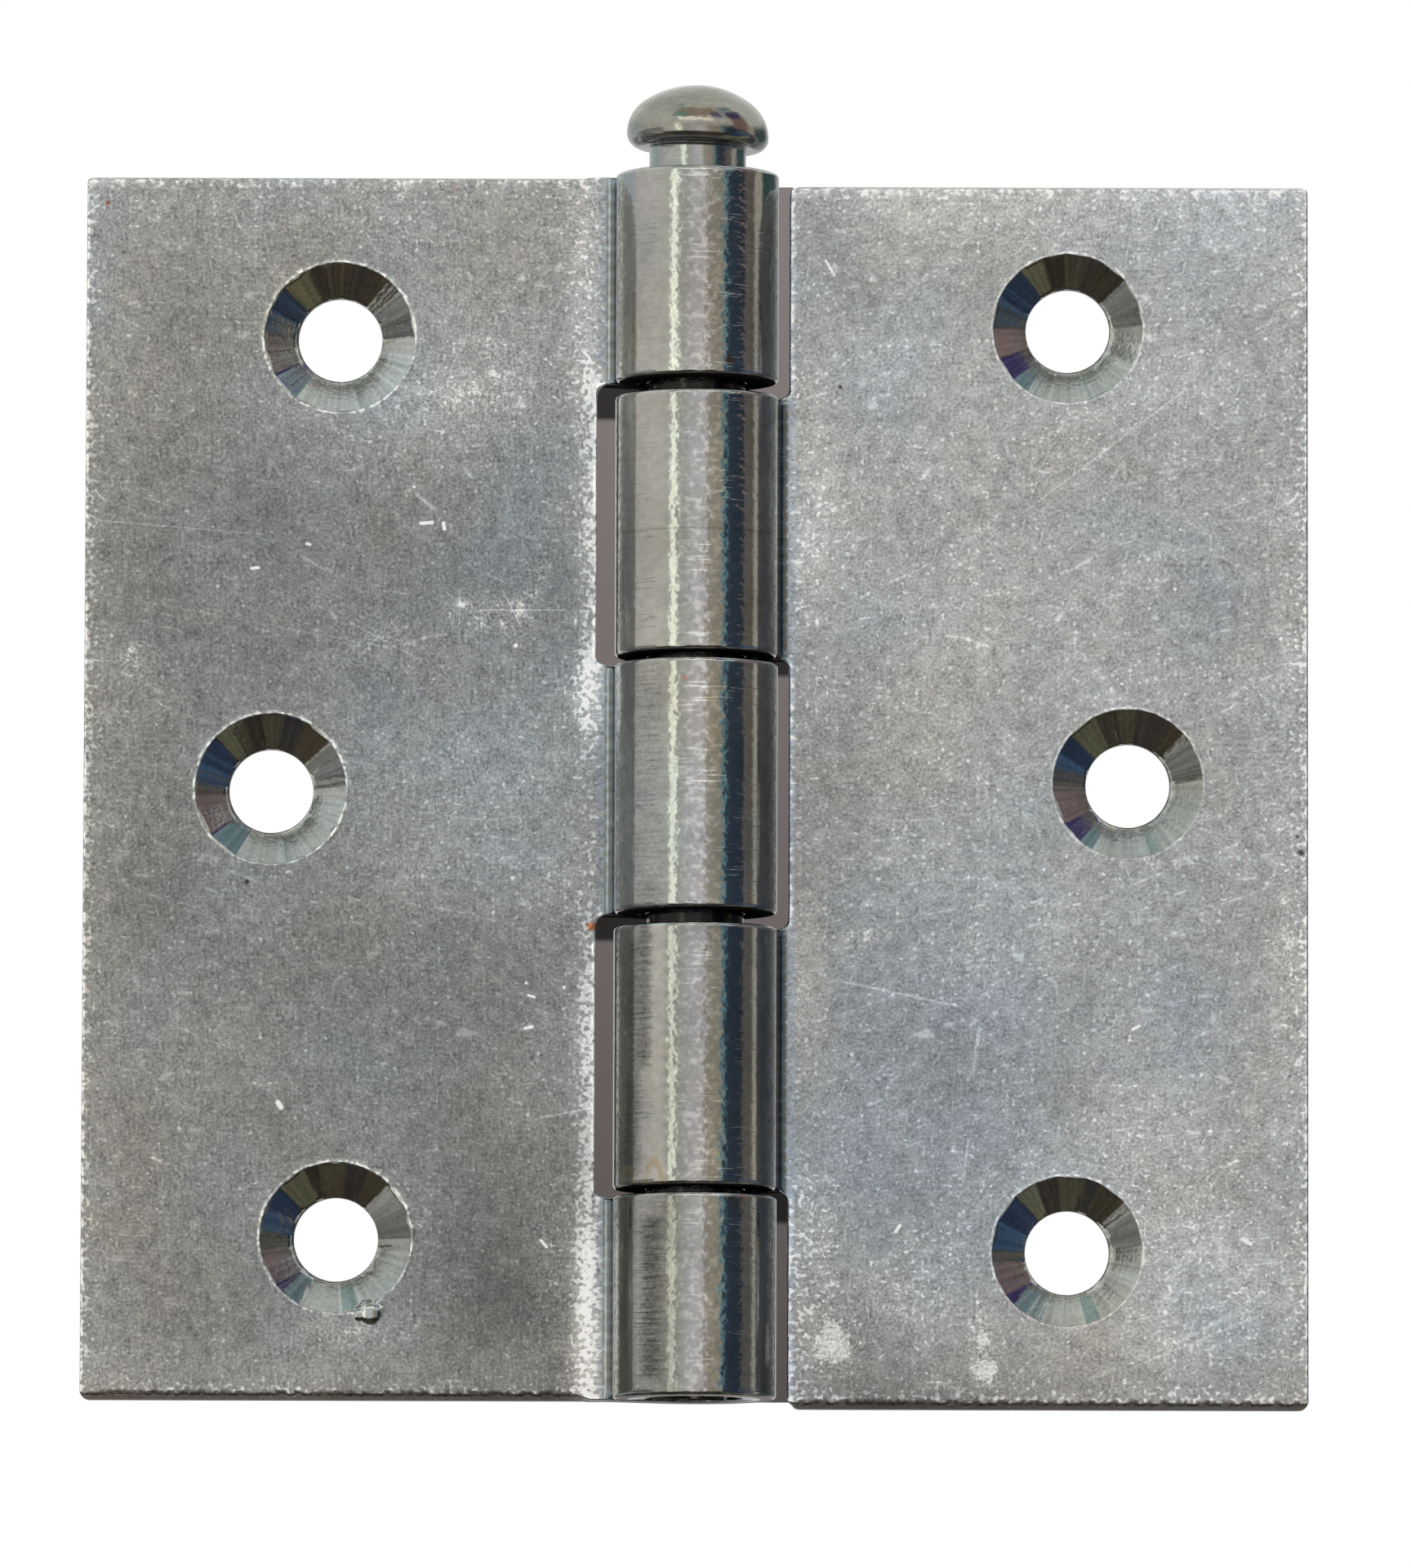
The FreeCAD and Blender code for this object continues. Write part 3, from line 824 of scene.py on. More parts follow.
def pin_profile():
    """The pin's radius and height from the middle of its tip to the middle of its dome."""
    bottom, top = height_range("hinge_pin")
    under = top - HEAD_EDGE_R - HEAD_DOME
    shoulder_r, crown_r = oval_radii(HEAD_R, HEAD_DOME)
    shoulder = (HEAD_R - shoulder_r, under + HEAD_EDGE_R)
    crown = (0, top - crown_r)
    meeting = math.degrees(math.atan2(shoulder[1] - crown[1], shoulder[0] - crown[0]))
    tip_r = PIN_R - PIN_TIP_CHAMFER - TIP_EDGE_R / 2
    side_start = bottom + PIN_TIP_CHAMFER + TIP_EDGE_R
    profile = [(r, bottom) for r in np.linspace(0, tip_r, 6)[:-1]]
    profile += arc_points((tip_r, bottom + TIP_EDGE_R), TIP_EDGE_R, -90, -45, 3)
    profile += arc_points((PIN_R - TIP_EDGE_R, side_start - TIP_EDGE_R / 2), TIP_EDGE_R, -45, 0, 3)
    profile += [(PIN_R, z) for z in np.arange(side_start, under - HEAD_FILLET - 0.03, 0.3)]
    profile += arc_points((PIN_R + HEAD_FILLET, under - HEAD_FILLET), HEAD_FILLET, 180, 90, 5)
    profile += [(r, under) for r in np.linspace(PIN_R + 0.2, HEAD_R - HEAD_EDGE_R, 5)]
    profile += arc_points((HEAD_R - HEAD_EDGE_R, under + HEAD_EDGE_R), HEAD_EDGE_R, -75, 0, 9)
    profile += arc_points(shoulder, shoulder_r, 0, meeting, 23)[1:]
    profile += arc_points(crown, crown_r, meeting + 1, 90, 30)
    return np.array(profile), under


def knuckle_gaps():
    """The heights between which the pin shows between two knuckles."""
    levels = sorted(knuckle_levels("fixed_leaf") + knuckle_levels("swing_leaf"))
    return [(low[1], high[0]) for low, high in zip(levels, levels[1:])]


# How much darker the head's plate is than the pin's
HEAD_DULL = 0.25


def bands(count, steps):
    """Faces that join rings of points lying one above another, each ring with that many steps."""
    here = np.arange(steps)
    following = np.roll(here, -1)
    band = np.column_stack([here, following, following + steps, here + steps])
    return np.concatenate([band + row * steps for row in range(count)]).tolist()


def pin_piece(material):
    """The loose pin, turned in one with its head. Its head was struck a little askew."""
    profile, under = pin_profile()
    turn = np.arange(LATHE_STEPS) * 2 * math.pi / LATHE_STEPS
    inner = profile[1:-1]
    ring = np.column_stack([np.cos(turn), np.sin(turn)])
    rings = [np.column_stack([radius * ring, np.full(LATHE_STEPS, z)]) for radius, z in inner]
    vertices = np.concatenate([*rings, [(0, 0, profile[0][1]), (0, 0, profile[-1][1])]])
    faces = bands(len(inner) - 1, LATHE_STEPS)
    last = (len(inner) - 1) * LATHE_STEPS
    tip, crown = len(vertices) - 2, len(vertices) - 1
    steps = [(a, (a + 1) % LATHE_STEPS) for a in range(LATHE_STEPS)]
    faces += [(tip, b, a) for a, b in steps]
    faces += [(crown, last + a, last + b) for a, b in steps]

    around = np.concatenate([np.tile(turn * PIN_R, len(inner)), [0, 0]])
    z = vertices[:, 2]
    on_head = ramp(z, under + 0.3, under + 1.2)
    value = (1 + 0.08 * cloudy(vertices, 0.5)) * (1 - HEAD_DULL * on_head)
    # The pin is painted darker where it shows in the gaps between the knuckles: painted shade.
    for low, high in knuckle_gaps():
        value *= 1 - (1 - GAP_PAINTED_SHADE) * between(z, low, high, 0.3, 0.1)
    off_axis = np.hypot(vertices[:, 0], vertices[:, 1]) / HEAD_R
    askew = HEAD_LEAN * ramp(vertices[:, 2], under - 0.3, under) * off_axis
    flat_mm = vertices.copy()
    vertices[:, 2] -= askew * vertices[:, 0]
    piece = new_mesh("hinge_pin_turned", vertices, faces, [material])
    add_attributes(piece, {
        "flat_mm": flat_mm,
        "around_mm": np.column_stack([around, flat_mm[:, 2], around * 0]),
        "tint": tinted(value, 0.6 * cloudy(vertices, 0.3) + on_head),
    })
    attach(piece, "hinge_pin")
    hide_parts("hinge_pin")


class Shader:
    """The nodes of a material or a world, made by short calls that take sockets, numbers or colours."""

    def __init__(self, name, kind="materials"):
        self.owner = getattr(bpy.data, kind).new(name)
        self.owner.use_nodes = True
        self.tree = self.owner.node_tree
        self.tree.nodes.clear()

    def put(self, socket, value):
        if isinstance(value, bpy.types.NodeSocket):
            self.tree.links.new(value, socket)
        elif hasattr(socket.default_value, "__len__") and len(socket.default_value) == 4 and len(value) == 3:
            socket.default_value = (*value, 1)
        else:
            socket.default_value = value

    def node(self, kind, inputs=(), **settings):
        node = self.tree.nodes.new(kind)
        for key, value in settings.items():
            setattr(node, key, value)
        for key, value in dict(inputs).items():
            self.put(node.inputs[key], value)
        return node

    def ending(self, shader, kind="ShaderNodeOutputMaterial"):
        """Ends the nodes in this shader, and gives what they belong to."""
        self.tree.links.new(shader.outputs[0], self.node(kind).inputs[0])
        return self.owner

    def centred(self, noise):
        """How far a noise lies above its middle value."""
        return self.plus(noise, -0.5)

    def math(self, operation, a, b=0.0, c=0.0):
        return self.node("ShaderNodeMath", {0: a, 1: b, 2: c}, operation=operation).outputs[0]

    def times(self, a, b):
        return self.math("MULTIPLY", a, b)

    def plus(self, a, b):
        return self.math("ADD", a, b)

    def total(self, *terms):
        """The sum of terms, each a socket, a number, or a pair that is multiplied."""
        result = 0.0
        for term in terms:
            if isinstance(term, tuple):
                result = self.math("MULTIPLY_ADD", term[0], term[1], result)
            else:
                result = self.plus(result, term)
        return result

    def most(self, a, b):
        return self.math("MAXIMUM", a, b)

    def vector(self, operation, a, b=(0, 0, 0), output=0):
        return self.node("ShaderNodeVectorMath", {0: a, 1: b}, operation=operation).outputs[output]

    def scaled(self, vector, value):
        return self.node("ShaderNodeVectorMath", {0: vector, 3: value}, operation="SCALE").outputs[0]

    def attribute(self, name, output="Fac"):
        return self.node("ShaderNodeAttribute", attribute_name=name).outputs[output]

    def parts(self, vector):
        return self.node("ShaderNodeSeparateXYZ", {0: vector}).outputs

    def stretch(self, value, low, high, to_low=0.0, to_high=1.0):
        inputs = {"Value": value, "From Min": low, "From Max": high, "To Min": to_low, "To Max": to_high}
        return self.node("ShaderNodeMapRange", inputs, interpolation_type="LINEAR").outputs[0]

    def place(self):
        """The place on the blank: s, z and the offset."""
        return self.attribute("flat_mm", "Vector")

    def tint(self):
        return self.attribute("tint", "Vector")

    def drawn_noise(self, vector, scales, detail=1, roughness=0.5):
        """Noise with its own scale each way, so that it is drawn out."""
        return self.noise(self.vector("MULTIPLY", vector, scales), 1.0, detail, roughness)

    def noise(self, vector, scale, detail=2.0, roughness=0.5, output=0):
        inputs = {"Vector": vector, "Scale": scale, "Detail": detail, "Roughness": roughness}
        return self.node("ShaderNodeTexNoise", inputs).outputs[output]

    def dots(self, vector, per_mm, reach):
        """Round specks of uneven size and brightness, one in each cell of an uneven net."""
        inputs = {"Vector": vector, "Scale": per_mm}
        cells = self.node("ShaderNodeTexVoronoi", inputs, voronoi_dimensions="2D").outputs
        own = self.math("POWER", self.parts(cells["Color"])[0], 2.5)
        size = self.math("MULTIPLY_ADD", own, reach, 0.04)
        return self.times(own, self.stretch(self.math("DIVIDE", cells["Distance"], size), 1.3, 0.7))

    def turned(self, vector, degrees):
        inputs = {"Vector": vector, "Angle": math.radians(degrees)}
        return self.node("ShaderNodeVectorRotate", inputs, rotation_type="Z_AXIS").outputs[0]

    def mix(self, share, a, b):
        node = self.node("ShaderNodeMix", data_type="RGBA")
        for socket, value in zip((node.inputs[0], node.inputs[6], node.inputs[7]), (share, a, b)):
            self.put(socket, value)
        return node.outputs[2]

    def hairlines(self, place, degrees, along, across):
        """Long thin curved lines at about an angle: where a drawn-out noise passes one of its levels."""
        drawn_out = self.drawn_noise(self.turned(place, degrees), (along, across, 0), 0)
        return self.contours(drawn_out, 9.0)

    def contours(self, noise, levels):
        """Thin lines where a noise passes one of its levels."""
        level = self.math("PINGPONG", self.times(noise, levels), 0.5)
        return self.stretch(level, 0.05, 0.015)

    def near(self, place, start, end, reach):
        """1 within reach of the line between two places, and 0 past it."""
        from_start = self.vector("SUBTRACT", place, start)
        way = Vector(end) - Vector(start)
        if way.length:
            share = self.vector("DOT_PRODUCT", from_start, tuple(way / way.length_squared), output=1)
            along = self.scaled(tuple(way), self.stretch(share, 0, 1))
            from_start = self.vector("SUBTRACT", from_start, along)
        return self.stretch(self.vector("LENGTH", from_start, output=1), 1.3 * reach, 0.6 * reach)

    def oval(self, place, centre, half_width, half_height):
        """How far a place is from the middle of an oval, where 1 is its outline."""
        way = self.vector("SUBTRACT", place, centre)
        share = self.vector("MULTIPLY", way, (1 / half_width, 1 / half_height, 0))
        return self.vector("LENGTH", share, output=1)

    def metal(self, base, tint, value, height, roughness, bump_mm):
        """Metal of a base colour, times a tint and a value, with fine relief up to bump_mm high."""
        colour = self.vector("MINIMUM", self.scaled(self.vector("MULTIPLY", tint, base), value), (1, 1, 1))
        bump = self.node("ShaderNodeBump", {"Height": height, "Distance": bump_mm / 1000, "Strength": 1.0})
        inputs = {"Base Color": colour, "Roughness": roughness, "Normal": bump.outputs[0], "Metallic": 1.0}
        return self.ending(self.node("ShaderNodeBsdfPrincipled", inputs))


# The plate of each leaf: its colour, the way in which it is drawn, in degrees, and how plain that is, and
# how bright its round specks and its curls are. Then how pale chalk is, and the tints of rust and of tan
# stains.
PLATE = {"fixed_leaf": (0.281, 0.285, 0.288), "swing_leaf": (0.434, 0.442, 0.454)}
DRAWN = {"fixed_leaf": (86, 0.5), "swing_leaf": (20, 0.2)}
DOT_GAIN = {"fixed_leaf": 0.5, "swing_leaf": 0.6}
CURL_GAIN = {"fixed_leaf": 0.34, "swing_leaf": 0.12}
CHALK = 0.74
RUST = (1.25, 0.45, 0.2)
TAN = (1.05, 0.86, 0.60)


def zinc_flat(name):
    """Dull zinc plate on the flat sheet: grainy, speckled, scratched and smeared, with painted glints."""
    m = Shader("zinc_" + name)
    base = PLATE[name]
    place = m.place()
    grain = m.noise(place, 5.0, 3, 0.78)
    hues = m.noise(place, 3.6, 2, 0.7, output=1)
    mottle = m.noise(place, 1.2, 3, 0.62)
    beady = m.noise(place, 3.2, 0)
    curly = m.noise(place, 2.2, 2, 0.55)
    degrees, plain = DRAWN[name]
    drawn = m.drawn_noise(m.turned(place, degrees), (0.9, 5.6, 1))
    dots = m.dots(place, 1.8, 0.2)
    # Clumps of specks, brightened as painted glints where the specks lie thick.
    thick = m.attribute("specks")
    clumps = m.stretch(m.total(beady, (m.centred(grain), 0.3), (thick, 0.17)), 0.75, 0.85)
    curls = m.stretch(m.math("ABSOLUTE", m.centred(curly)), 0.028, 0.008)
    curls = m.times(curls, m.stretch(grain, 0.46, 0.58))
    smeared = m.attribute("smears")
    chalk = m.total((smeared, 0.8), (m.centred(mottle), 1.3), (m.centred(grain), 0.6))
    veil = m.times(m.stretch(smeared, 0, 1, 0, 0.8), m.stretch(grain, 0.4, 0.64, 0.1, 0.8))
    chalk = m.most(m.stretch(chalk, 0.42, 0.62, 0, 0.95), veil)
    traces = m.times(m.contours(m.noise(place, 0.55, 2, 0.6), 7.0), m.stretch(smeared, 0.12, 0.5))
    lines = m.times(m.hairlines(place, 12, 0.03, 0.26), m.stretch(mottle, 0.5, 0.6))
    more_lines = m.times(m.hairlines(place, 74, 0.04, 0.2), m.stretch(mottle, 0.48, 0.4))
    # Painted glints on the burrs round the countersinks and on the beads beside the tear.
    rim = m.attribute("rim")
    bead_glints = m.times(rim, m.stretch(beady, 0.42, 0.62))
    value = m.total(
        1.0, (m.centred(grain), 2.3), (m.centred(drawn), plain), (m.centred(mottle), 1.1),
        (dots, DOT_GAIN[name]), (curls, CURL_GAIN[name]), (clumps, 0.8), (lines, 0.5), (more_lines, 0.45),
        (traces, 0.5), (rim, 0.5), (bead_glints, 2.2),
    )
    # Painted glints from the table, and darker pits.
    glints = 0.0
    pits = 0.0
    for x, z, end_x, end_z, reach, bright in GLINTS[name]:
        start, end = ((leaf_width - abs(px), pz, -half) for px, pz in ((x, z), (end_x, end_z)))
        glints = m.total(glints, (m.near(place, start, end, reach), bright))
    for x, z, reach in PITS[name]:
        spot = (leaf_width - abs(x), z, -half)
        pits = m.plus(pits, m.near(place, spot, spot, reach))
    value = m.total((value, m.stretch(pits, 0, 1, 1, 0.2)), glints)
    hued = m.vector("ADD", m.scaled(hues, 0.18), (0.91, 0.91, 0.91))
    tint = m.vector("MULTIPLY", m.tint(), hued)
    tint = m.mix(chalk, tint, tuple(CHALK / c for c in base))
    if name == "fixed_leaf":
        for x, z, reach in RUSTY_PLACES:
            spot = (leaf_width + x, z, -half)
            tint = m.mix(m.near(place, spot, spot, reach), tint, RUST)
    roughness = m.total(0.40, (m.centred(mottle), 0.12), (chalk, 0.1), (clumps, -0.1), (rim, -0.15))
    height = m.total(grain, (clumps, 0.4), (dots, 0.5), (curls, 0.3), (drawn, 0.3))
    return m.metal(base, tint, value, height, roughness, bump_mm=0.006)


def zinc_roll():
    """Bright zinc plate on the rolled knuckles: smooth, beaded at the front with painted highlights in
    bright blobs and dashes, and marked round the pin.
    """
    m = Shader("zinc_roll")
    place = m.place()
    speckle = m.noise(place, 2.4, 1, 0.5)
    strokes = m.drawn_noise(place, (0.5, 6.0, 0))
    spells = m.drawn_noise(place, (0.2, 0.55, 0))
    bead_glints = m.attribute("bead_glints")
    grainy = m.attribute("grainy")
    rubbed = m.attribute("rubbed")
    # Painted highlights: bright blobs and dashes at the front of the knuckles.
    dashes = m.times(m.stretch(strokes, 0.58, 0.66), m.stretch(spells, 0.50, 0.60))
    blobs = m.stretch(m.noise(place, 2.7, 1, 0.6), 0.48, 0.68)
    light = m.times(bead_glints, m.total((dashes, 0.8), (blobs, 0.5)))
    worn = m.total(rubbed, (m.centred(strokes), 0.8), (m.centred(m.noise(place, 5.0, 3, 0.7)), 1.2))
    worn = m.stretch(worn, 0.1, 1.0)
    worn = m.times(worn, m.stretch(rubbed, 0.05, 0.3))
    value = m.times(m.total(1.0, (m.centred(speckle), 0.4), light), m.stretch(worn, 0, 1, 1, 0.25))
    scratch = m.math("ABSOLUTE", m.plus(m.parts(place)[1], -ROUND_SCRATCH_Z))
    value = m.times(value, m.stretch(m.total(scratch, (m.centred(strokes), 0.1)), 0.02, 0.07, 0.72, 1.0))
    tint = m.tint()
    for name, angle, z, half_width, half_height in DRIED_DROPS:
        oval = m.oval(place, on_roll(name, angle, z), half_width, half_height)
        ring = m.stretch(m.math("ABSOLUTE", m.plus(oval, -0.9)), 0.3, 0.1, 0, 0.8)
        tint = m.mix(ring, tint, TAN)
    for name, angle, z, reach in RUST_SPOTS:
        spot = on_roll(name, angle, z)
        tint = m.mix(m.times(m.near(place, spot, spot, reach), 0.7), tint, RUST)
    height = m.total(
        (speckle, 0.5), (m.times(grainy, speckle), 1.2), (m.times(bead_glints, speckle), 0.9), (dashes, -0.25),
    )
    return m.metal((0.40, 0.40, 0.395), tint, value, height, roughness=0.10, bump_mm=0.016)


def zinc_sink():
    """Plated countersinks and screw holes: cut in short facets, and streaked from the rim to the hole."""
    m = Shader("zinc_sink")
    hole = m.attribute("hole_mm", "Vector")
    flat_way = m.vector("MULTIPLY", hole, (1, 1, 0))
    rim_way = m.vector("NORMALIZE", flat_way)
    whose = m.vector("MULTIPLY", hole, (0.04, 0.04, 7.0))
    streaks = m.noise(m.vector("ADD", m.scaled(rim_way, 10.0), whose), 1.0, 2, 0.65)
    speckle = m.noise(m.place(), 3.6, 2, 0.6)
    turned = m.noise(m.scaled((0, 0, 1), m.vector("LENGTH", flat_way, output=1)), 11.0, 1)
    value = m.total(
        1.0, (m.centred(streaks), 1.2), (m.centred(speckle), 0.6), (m.centred(turned), 0.25),
    )
    height = m.total((streaks, 0.6), (speckle, 0.4), (turned, 0.15))
    return m.metal((0.36, 0.36, 0.345), m.tint(), value, height, roughness=0.10, bump_mm=0.022)


def painted_gap_shade():
    """Painted shade, nearly black and blotchy, on the knuckle ends that face the narrow gaps between the
    knuckles.
    """
    m = Shader("painted_gap_shade")
    place = m.place()
    blotches = m.noise(place, 2.5, 2, 0.6)
    colour = m.mix(blotches, (0.006, 0.006, 0.006), (0.022, 0.020, 0.018))
    inputs = {"Base Color": colour, "Roughness": 0.85, "Specular IOR Level": 0.0}
    return m.ending(m.node("ShaderNodeBsdfPrincipled", inputs))


def zinc_sheared():
    """Thin plating on the sheet's sheared edges: scored by the die at the front, torn towards the back."""
    m = Shader("zinc_sheared")
    place = m.place()
    scores = m.drawn_noise(place, (4.5, 4.5, 0.35), 2, 0.6)
    torn = m.noise(place, 3.5, 2, 0.6)
    depth = m.stretch(m.parts(place)[2], 0.0, 0.4)
    value = m.total(0.75, (m.centred(scores), 1.0), (m.times(depth, m.plus(torn, -0.65)), 1.4))
    height = m.total((scores, 0.6), (m.times(depth, torn), 1.2))
    return m.metal((0.30, 0.285, 0.26), m.tint(), value, height, roughness=0.34, bump_mm=0.03)


def zinc_pin():
    """Bright zinc plate on the cold-headed pin."""
    m = Shader("zinc_pin")
    place = m.place()
    speckle = m.noise(place, 3.0, 2, 0.6)
    strokes = m.drawn_noise(m.attribute("around_mm", "Vector"), (0.6, 6.0, 0))
    value = m.total(1.0, (m.centred(speckle), 0.5), (m.stretch(strokes, 0.62, 0.72), 0.25))
    height = m.total(speckle, (strokes, 0.3))
    return m.metal((0.40, 0.40, 0.39), m.tint(), value, height, roughness=0.15, bump_mm=0.012)


# What stands round the hinge, as the metal mirrors it. Directions are in degrees: round to the right from
# where the camera stands, and up from level. The belt is a colour at each angle round, and a card has its
# left, right, low and high edge and its colour.
BELT = [
    (-180, (0.62, 0.62, 0.62)), (-150, (0.70, 0.74, 0.72)), (-132, (0.58, 0.66, 0.66)),
    (-104, (0.60, 0.66, 0.68)), (-96, (0.76, 0.75, 0.71)), (-60, (0.84, 0.83, 0.77)),
    (-43, (0.80, 0.80, 0.73)), (-39, (1.00, 1.02, 0.90)), (-36, (2.0, 2.1, 1.75)), (-31, (2.0, 2.1, 1.75)),
    (-27, (0.86, 0.88, 0.78)), (-22, (0.66, 0.66, 0.62)), (-8, (0.84, 0.83, 0.83)),
    (10, (0.92, 0.90, 0.89)), (17, (0.56, 0.51, 0.43)), (36, (0.46, 0.42, 0.32)), (39, (0.24, 0.40, 0.44)),
    (42, (0.16, 0.30, 0.36)), (46, (0.05, 0.075, 0.105)), (70, (0.035, 0.05, 0.075)),
    (74, (0.19, 0.175, 0.155)), (87, (0.18, 0.165, 0.14)), (91, (0.62, 0.59, 0.51)),
    (103, (0.56, 0.53, 0.46)), (108, (0.06, 0.11, 0.115)), (140, (0.08, 0.13, 0.13)),
    (155, (0.55, 0.56, 0.56)),
]
ABOVE = (0.88, 0.94, 0.90)
BELOW = (0.050, 0.042, 0.034)
CARDS = [
    (56, 92, -38, -20, (0.045, 0.07, 0.13)), (64, 96, -20, -3, (0.08, 0.145, 0.26)),
    (64, 96, -3, 1, (0.12, 0.13, 0.13)), (62, 96, 11, 35, (0.34, 0.25, 0.25)),
    (56, 92, 35, 48, (0.09, 0.07, 0.22)), (52, 86, 48, 61, (0.28, 0.43, 0.48)),
    (84, 124, -50, -24, (0.30, 0.27, 0.20)), (-66, -40, 64, 76, (0.44, 0.64, 0.64)),
    (-46, 46, 38, 64, (0.52, 0.48, 0.38)), (-44, -18, 37, 46, (0.30, 0.56, 0.54)),
    (2, 28, 42, 54, (0.56, 0.45, 0.40)), (28, 50, 36, 50, (0.13, 0.10, 0.30)),
    (-34, 28, 28, 35, (2.4, 2.4, 2.3)), (-80, -52, -78, -60, (0.036, 0.047, 0.075)),
    (-90, -62, -58, -36, (0.115, 0.095, 0.06)), (-90, -66, -34, -27, (0.60, 0.60, 0.56)),
    (-96, -60, -27, -5, (0.36, 0.36, 0.35)), (-96, -60, -5, 0, (0.10, 0.10, 0.10)),
    (56, 86, -62, -40, (0.20, 0.20, 0.13)), (-14, 14, -84, -62, (0.13, 0.115, 0.075)),
    (140, 181, -60, -12, (0.34, 0.31, 0.30)), (-181, -140, -60, -12, (0.34, 0.31, 0.30)),
]

# Where the belt turns into what is above it and below it, how soft the cards' edges are, the radius of the
# shell in metres, and how finely it is drawn
ABOVE_FROM = (12, 22)
BELOW_FROM = (-22, -30)
CARD_SOFT = 1
SURROUND_R = 3.0
SURROUND_STEPS = (360, 60)


def surround_light(azimuth, elevation, points):
    stops = [angle for angle, _ in BELT]
    belt = np.stack([np.interp(azimuth, stops, [c[k] for _, c in BELT], period=360) for k in range(3)], 1)
    rough = cloudy(points, 1.8)[:, None]
    above = np.array(ABOVE) * (1 + 0.1 * rough)
    below = np.array(BELOW) * (1.0 + 1.2 * rough).clip(0.3, 4)
    rise = ramp(elevation, *ABOVE_FROM)[:, None]
    drop = ramp(elevation, *BELOW_FROM)[:, None]
    light = (belt * (1 - rise) + above * rise) * (1 - drop) + below * drop
    for left, right, low, high, colour in CARDS:
        share = between(azimuth, left, right, CARD_SOFT, CARD_SOFT)
        share *= between(elevation, low, high, CARD_SOFT, CARD_SOFT)
        light += share[:, None] * (np.array(colour) - light)
    return light


def glow(name):
    """A material that shines with the colour in the mesh's light attribute."""
    m = Shader(name)
    material = m.ending(m.node("ShaderNodeEmission", {0: m.attribute("light", "Vector"), 1: 1.0}))
    material.cycles.emission_sampling = "NONE"
    return material


def seen_by(piece, *kinds):
    """Lets only these kinds of ray see a piece."""
    for kind in ("camera", "diffuse", "glossy", "transmission", "volume_scatter", "shadow"):
        setattr(piece, "visible_" + kind, kind in kinds)


def surround():
    """A shell for the metal to mirror: soft lights and dark cards, pale above and dark below."""
    columns, rows = SURROUND_STEPS
    round_about = np.arange(columns) * 360 / columns - 180
    azimuth, elevation = (grid.ravel() for grid in np.meshgrid(round_about, np.linspace(-90, 90, rows + 1)))
    turn, tilt = np.radians(azimuth), np.radians(elevation)
    level = np.cos(tilt)
    points = np.stack([level * np.sin(turn), -level * np.cos(turn), np.sin(tilt)], 1)
    facing_in = [face[:1] + face[:0:-1] for face in bands(rows, columns)]
    shell = new_mesh("surround", points * SURROUND_R * 1000, facing_in, [glow("surround")])
    add_attributes(shell, {"light": surround_light(azimuth, elevation, points)})
    seen_by(shell, "glossy")


# The dark ground close behind the hinge, which shows only through the slots beside the knuckles. Here it is
# two strips far behind the knuckles that glow with a painted ground colour, a little lighter towards the
# top. The heights between which the sheet's shadow is painted on them are in millimetres, and the painted
# shadow's edges are soft.
GROUND_AWAY = 12000.0
GROUND_HALF_WIDTH = (6.7, 5.95)
GROUND_HEIGHTS = (-40.8, 34.9)
GROUND_LIGHT = (0.172, 0.150, 0.146)
GROUND_PAINTED_SHADOW = (0.028, 0.026, 0.025)
GROUND_PAINTED_SHADOWS = (((20.3, 22.9), (-12.2, -10.3)), ((4.3, 5.8), (-29.7, -27.5)))
GROUND_LIGHTER = 0.011
SHADE_SOFT = 0.15


def painted_ground():
    """Two strips that look like ground to the camera alone, glowing with a painted ground colour and the
    sheet's painted shadow. They get darker towards the bottom.
    """
    vertices, faces, colours = [], [], []
    eye = camera_place()
    for side, half_width, shades in zip((-1, 1), GROUND_HALF_WIDTH, GROUND_PAINTED_SHADOWS):
        edges = [edge + step for pair in shades for edge in pair for step in (-SHADE_SOFT, SHADE_SOFT)]
        levels = sorted([*GROUND_HEIGHTS, *edges])
        for z in levels:
            shaded = any(low < z < high for low, high in shades)
            for x in (0, side * half_width):
                seen = Vector((x, FRAME_MIDDLE.y, z))
                vertices.append(eye + (seen - eye) * (1 + GROUND_AWAY / CAMERA_DISTANCE))
                # The painted ground colour, or the sheet's painted shadow where it falls.
                light = np.array(GROUND_PAINTED_SHADOW if shaded else GROUND_LIGHT)
                colours.append(light * (1 + GROUND_LIGHTER * z))
        first = len(vertices) - 2 * len(levels)
        faces += [[first + 2 * i + k for k in (0, 1, 3, 2)] for i in range(len(levels) - 1)]
    strips = new_mesh("painted_ground", vertices, faces, [glow("painted_ground")])
    add_attributes(strips, {"light": np.array(colours)})
    seen_by(strips, "camera", "transmission", "volume_scatter")


# The floor's height and half its width in metres, its colour, and how bright the world's even light is
FLOOR_Z = -0.15
FLOOR_HALF = 4.0
FLOOR_COLOUR = (0.86, 0.86, 0.86)
WORLD_LIGHT = 0.45


def floor():
    bpy.ops.mesh.primitive_plane_add(size=2 * FLOOR_HALF, location=(0, 0, FLOOR_Z))
    plane = bpy.context.object
    plane.name = "floor"
    m = Shader("floor")
    plane.data.materials.append(m.ending(m.node("ShaderNodeBsdfDiffuse", {0: FLOOR_COLOUR})))
    plane.visible_glossy = False


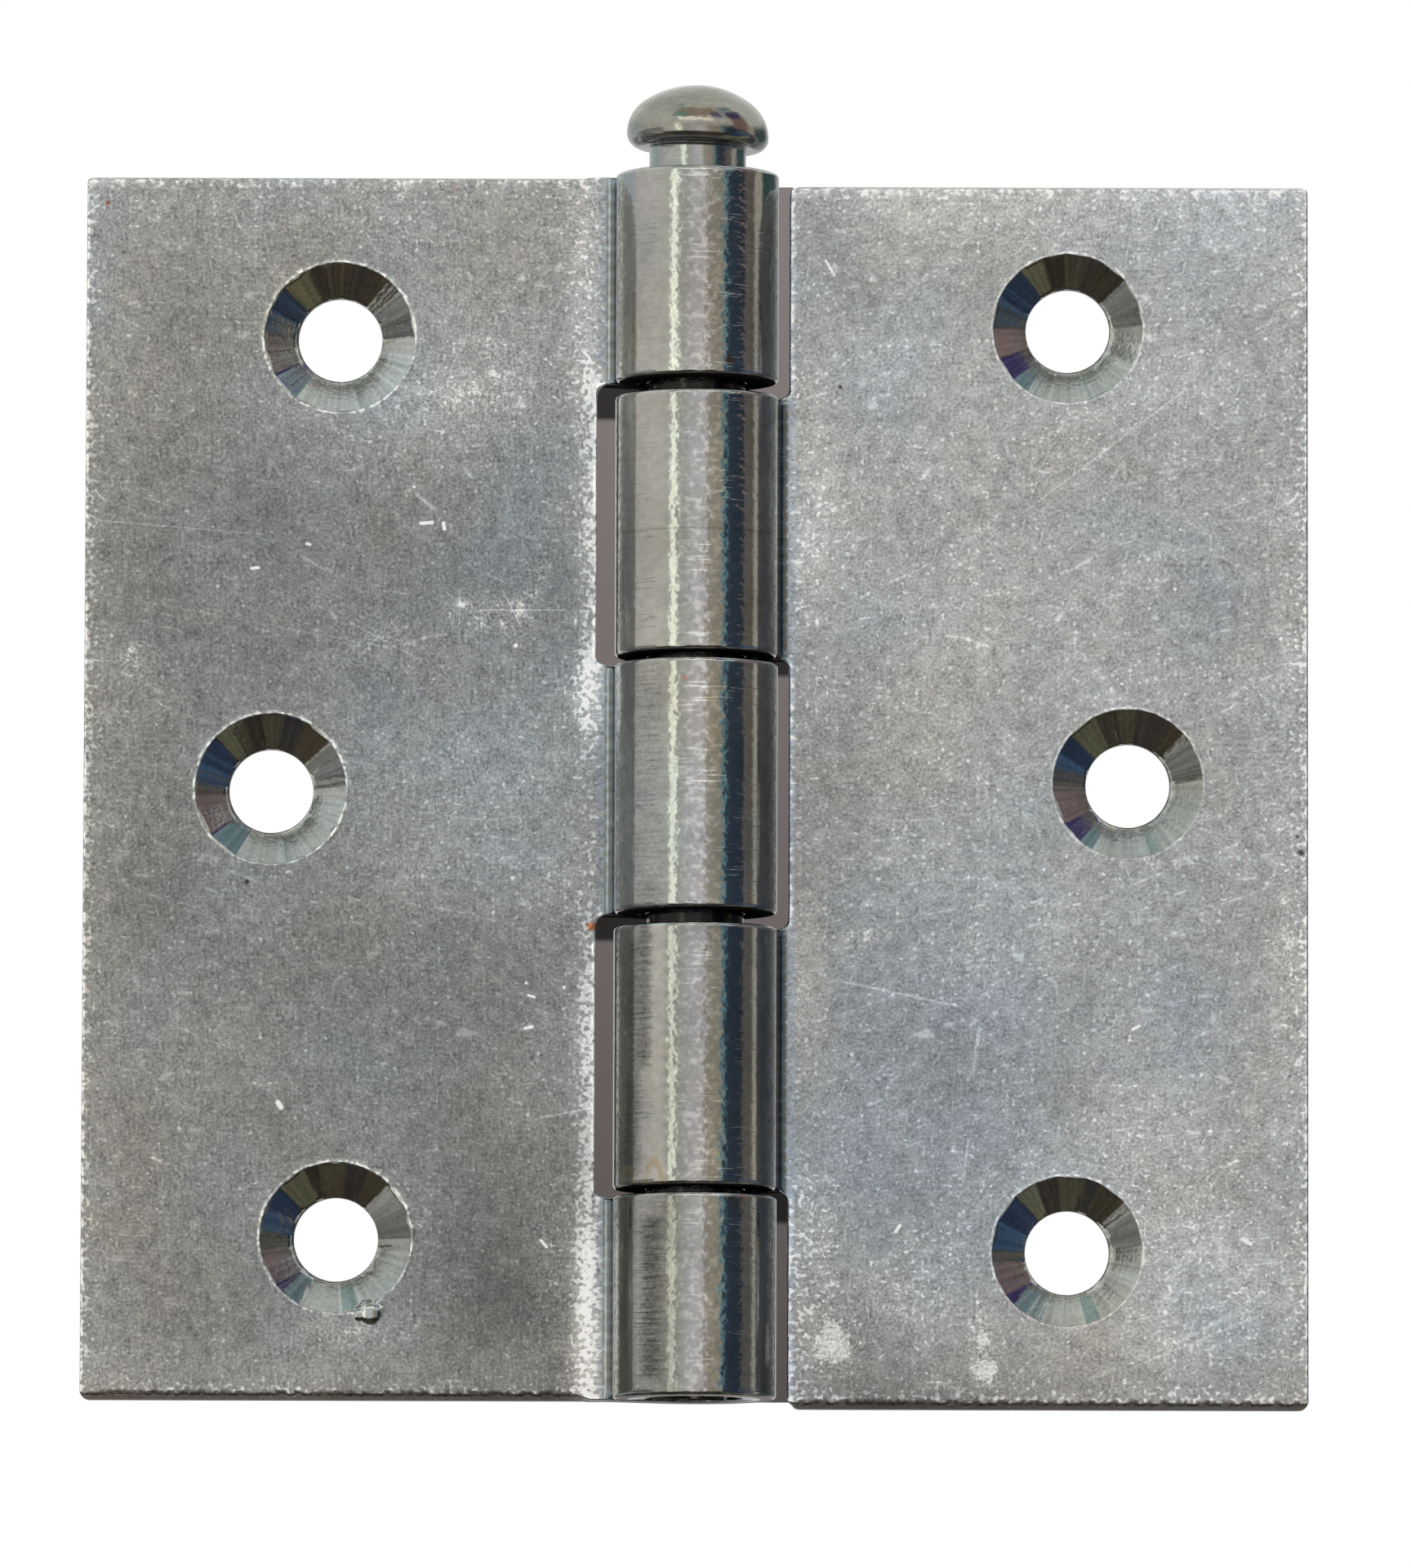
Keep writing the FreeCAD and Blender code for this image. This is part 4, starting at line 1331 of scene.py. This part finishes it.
def world():
    """White where it is seen, and an even soft light on everything else."""
    m = Shader("studio", "worlds")
    ray = m.node("ShaderNodeLightPath").outputs
    seen = m.most(m.most(ray["Is Camera Ray"], ray["Is Glossy Ray"]), ray["Is Transmission Ray"])
    strength = m.stretch(seen, 0, 1, WORLD_LIGHT, 1.0)
    background = m.node("ShaderNodeBackground", {0: (1, 1, 1), 1: strength})
    bpy.context.scene.world = m.ending(background, "ShaderNodeOutputWorld")


def lamp(name, place, size, energy):
    """A soft square lamp that faces the hinge, with its place and size in metres and its energy in watts."""
    data = bpy.data.lights.new(name, "AREA")
    data.shape = "SQUARE"
    data.size = size
    data.energy = energy
    light = bpy.data.objects.new(name, data)
    bpy.context.scene.collection.objects.link(light)
    light.location = place
    light.rotation_euler = (-Vector(place)).to_track_quat("-Z", "Y").to_euler()
    light.visible_glossy = False


# The photo's frame at the leaves' front, in millimetres, and the point that it is centred on
FRAME_HEIGHT = 97.2
FRAME_MIDDLE = Vector((0.60, 0.75, -2.42))
CAMERA_DISTANCE = 1000.0
CAMERA_BELOW = math.radians(5.7)
CAMERA_ROLL = math.radians(0.17)
SENSOR = 36.0


def camera_back():
    """The direction from what the camera looks at back to the camera."""
    return Vector((0, -math.cos(CAMERA_BELOW), -math.sin(CAMERA_BELOW)))


def camera_place():
    return FRAME_MIDDLE + camera_back() * CAMERA_DISTANCE


def camera():
    data = bpy.data.cameras.new("camera")
    data.sensor_width = SENSOR
    data.lens = SENSOR * CAMERA_DISTANCE / FRAME_HEIGHT
    data.clip_start = 0.01
    data.clip_end = 100
    view = bpy.data.objects.new("camera", data)
    bpy.context.scene.collection.objects.link(view)
    view.location = camera_place() / 1000
    view.rotation_mode = "QUATERNION"
    view.rotation_quaternion = (-camera_back()).to_track_quat("-Z", "Y") @ Quaternion((0, 0, 1), CAMERA_ROLL)
    bpy.context.scene.camera = view


shared = [zinc_roll(), zinc_sink(), zinc_sheared(), painted_gap_shade()]
for leaf, side in (("fixed_leaf", 1), ("swing_leaf", -1)):
    leaf_piece(leaf, side, [zinc_flat(leaf), *shared])
pin_piece(zinc_pin())

surround()
painted_ground()
floor()
world()
lamp("key", place=(-0.5, -0.5, 0.9), size=0.8, energy=14)
camera()
bpy.context.scene.view_settings.view_transform = "Standard"
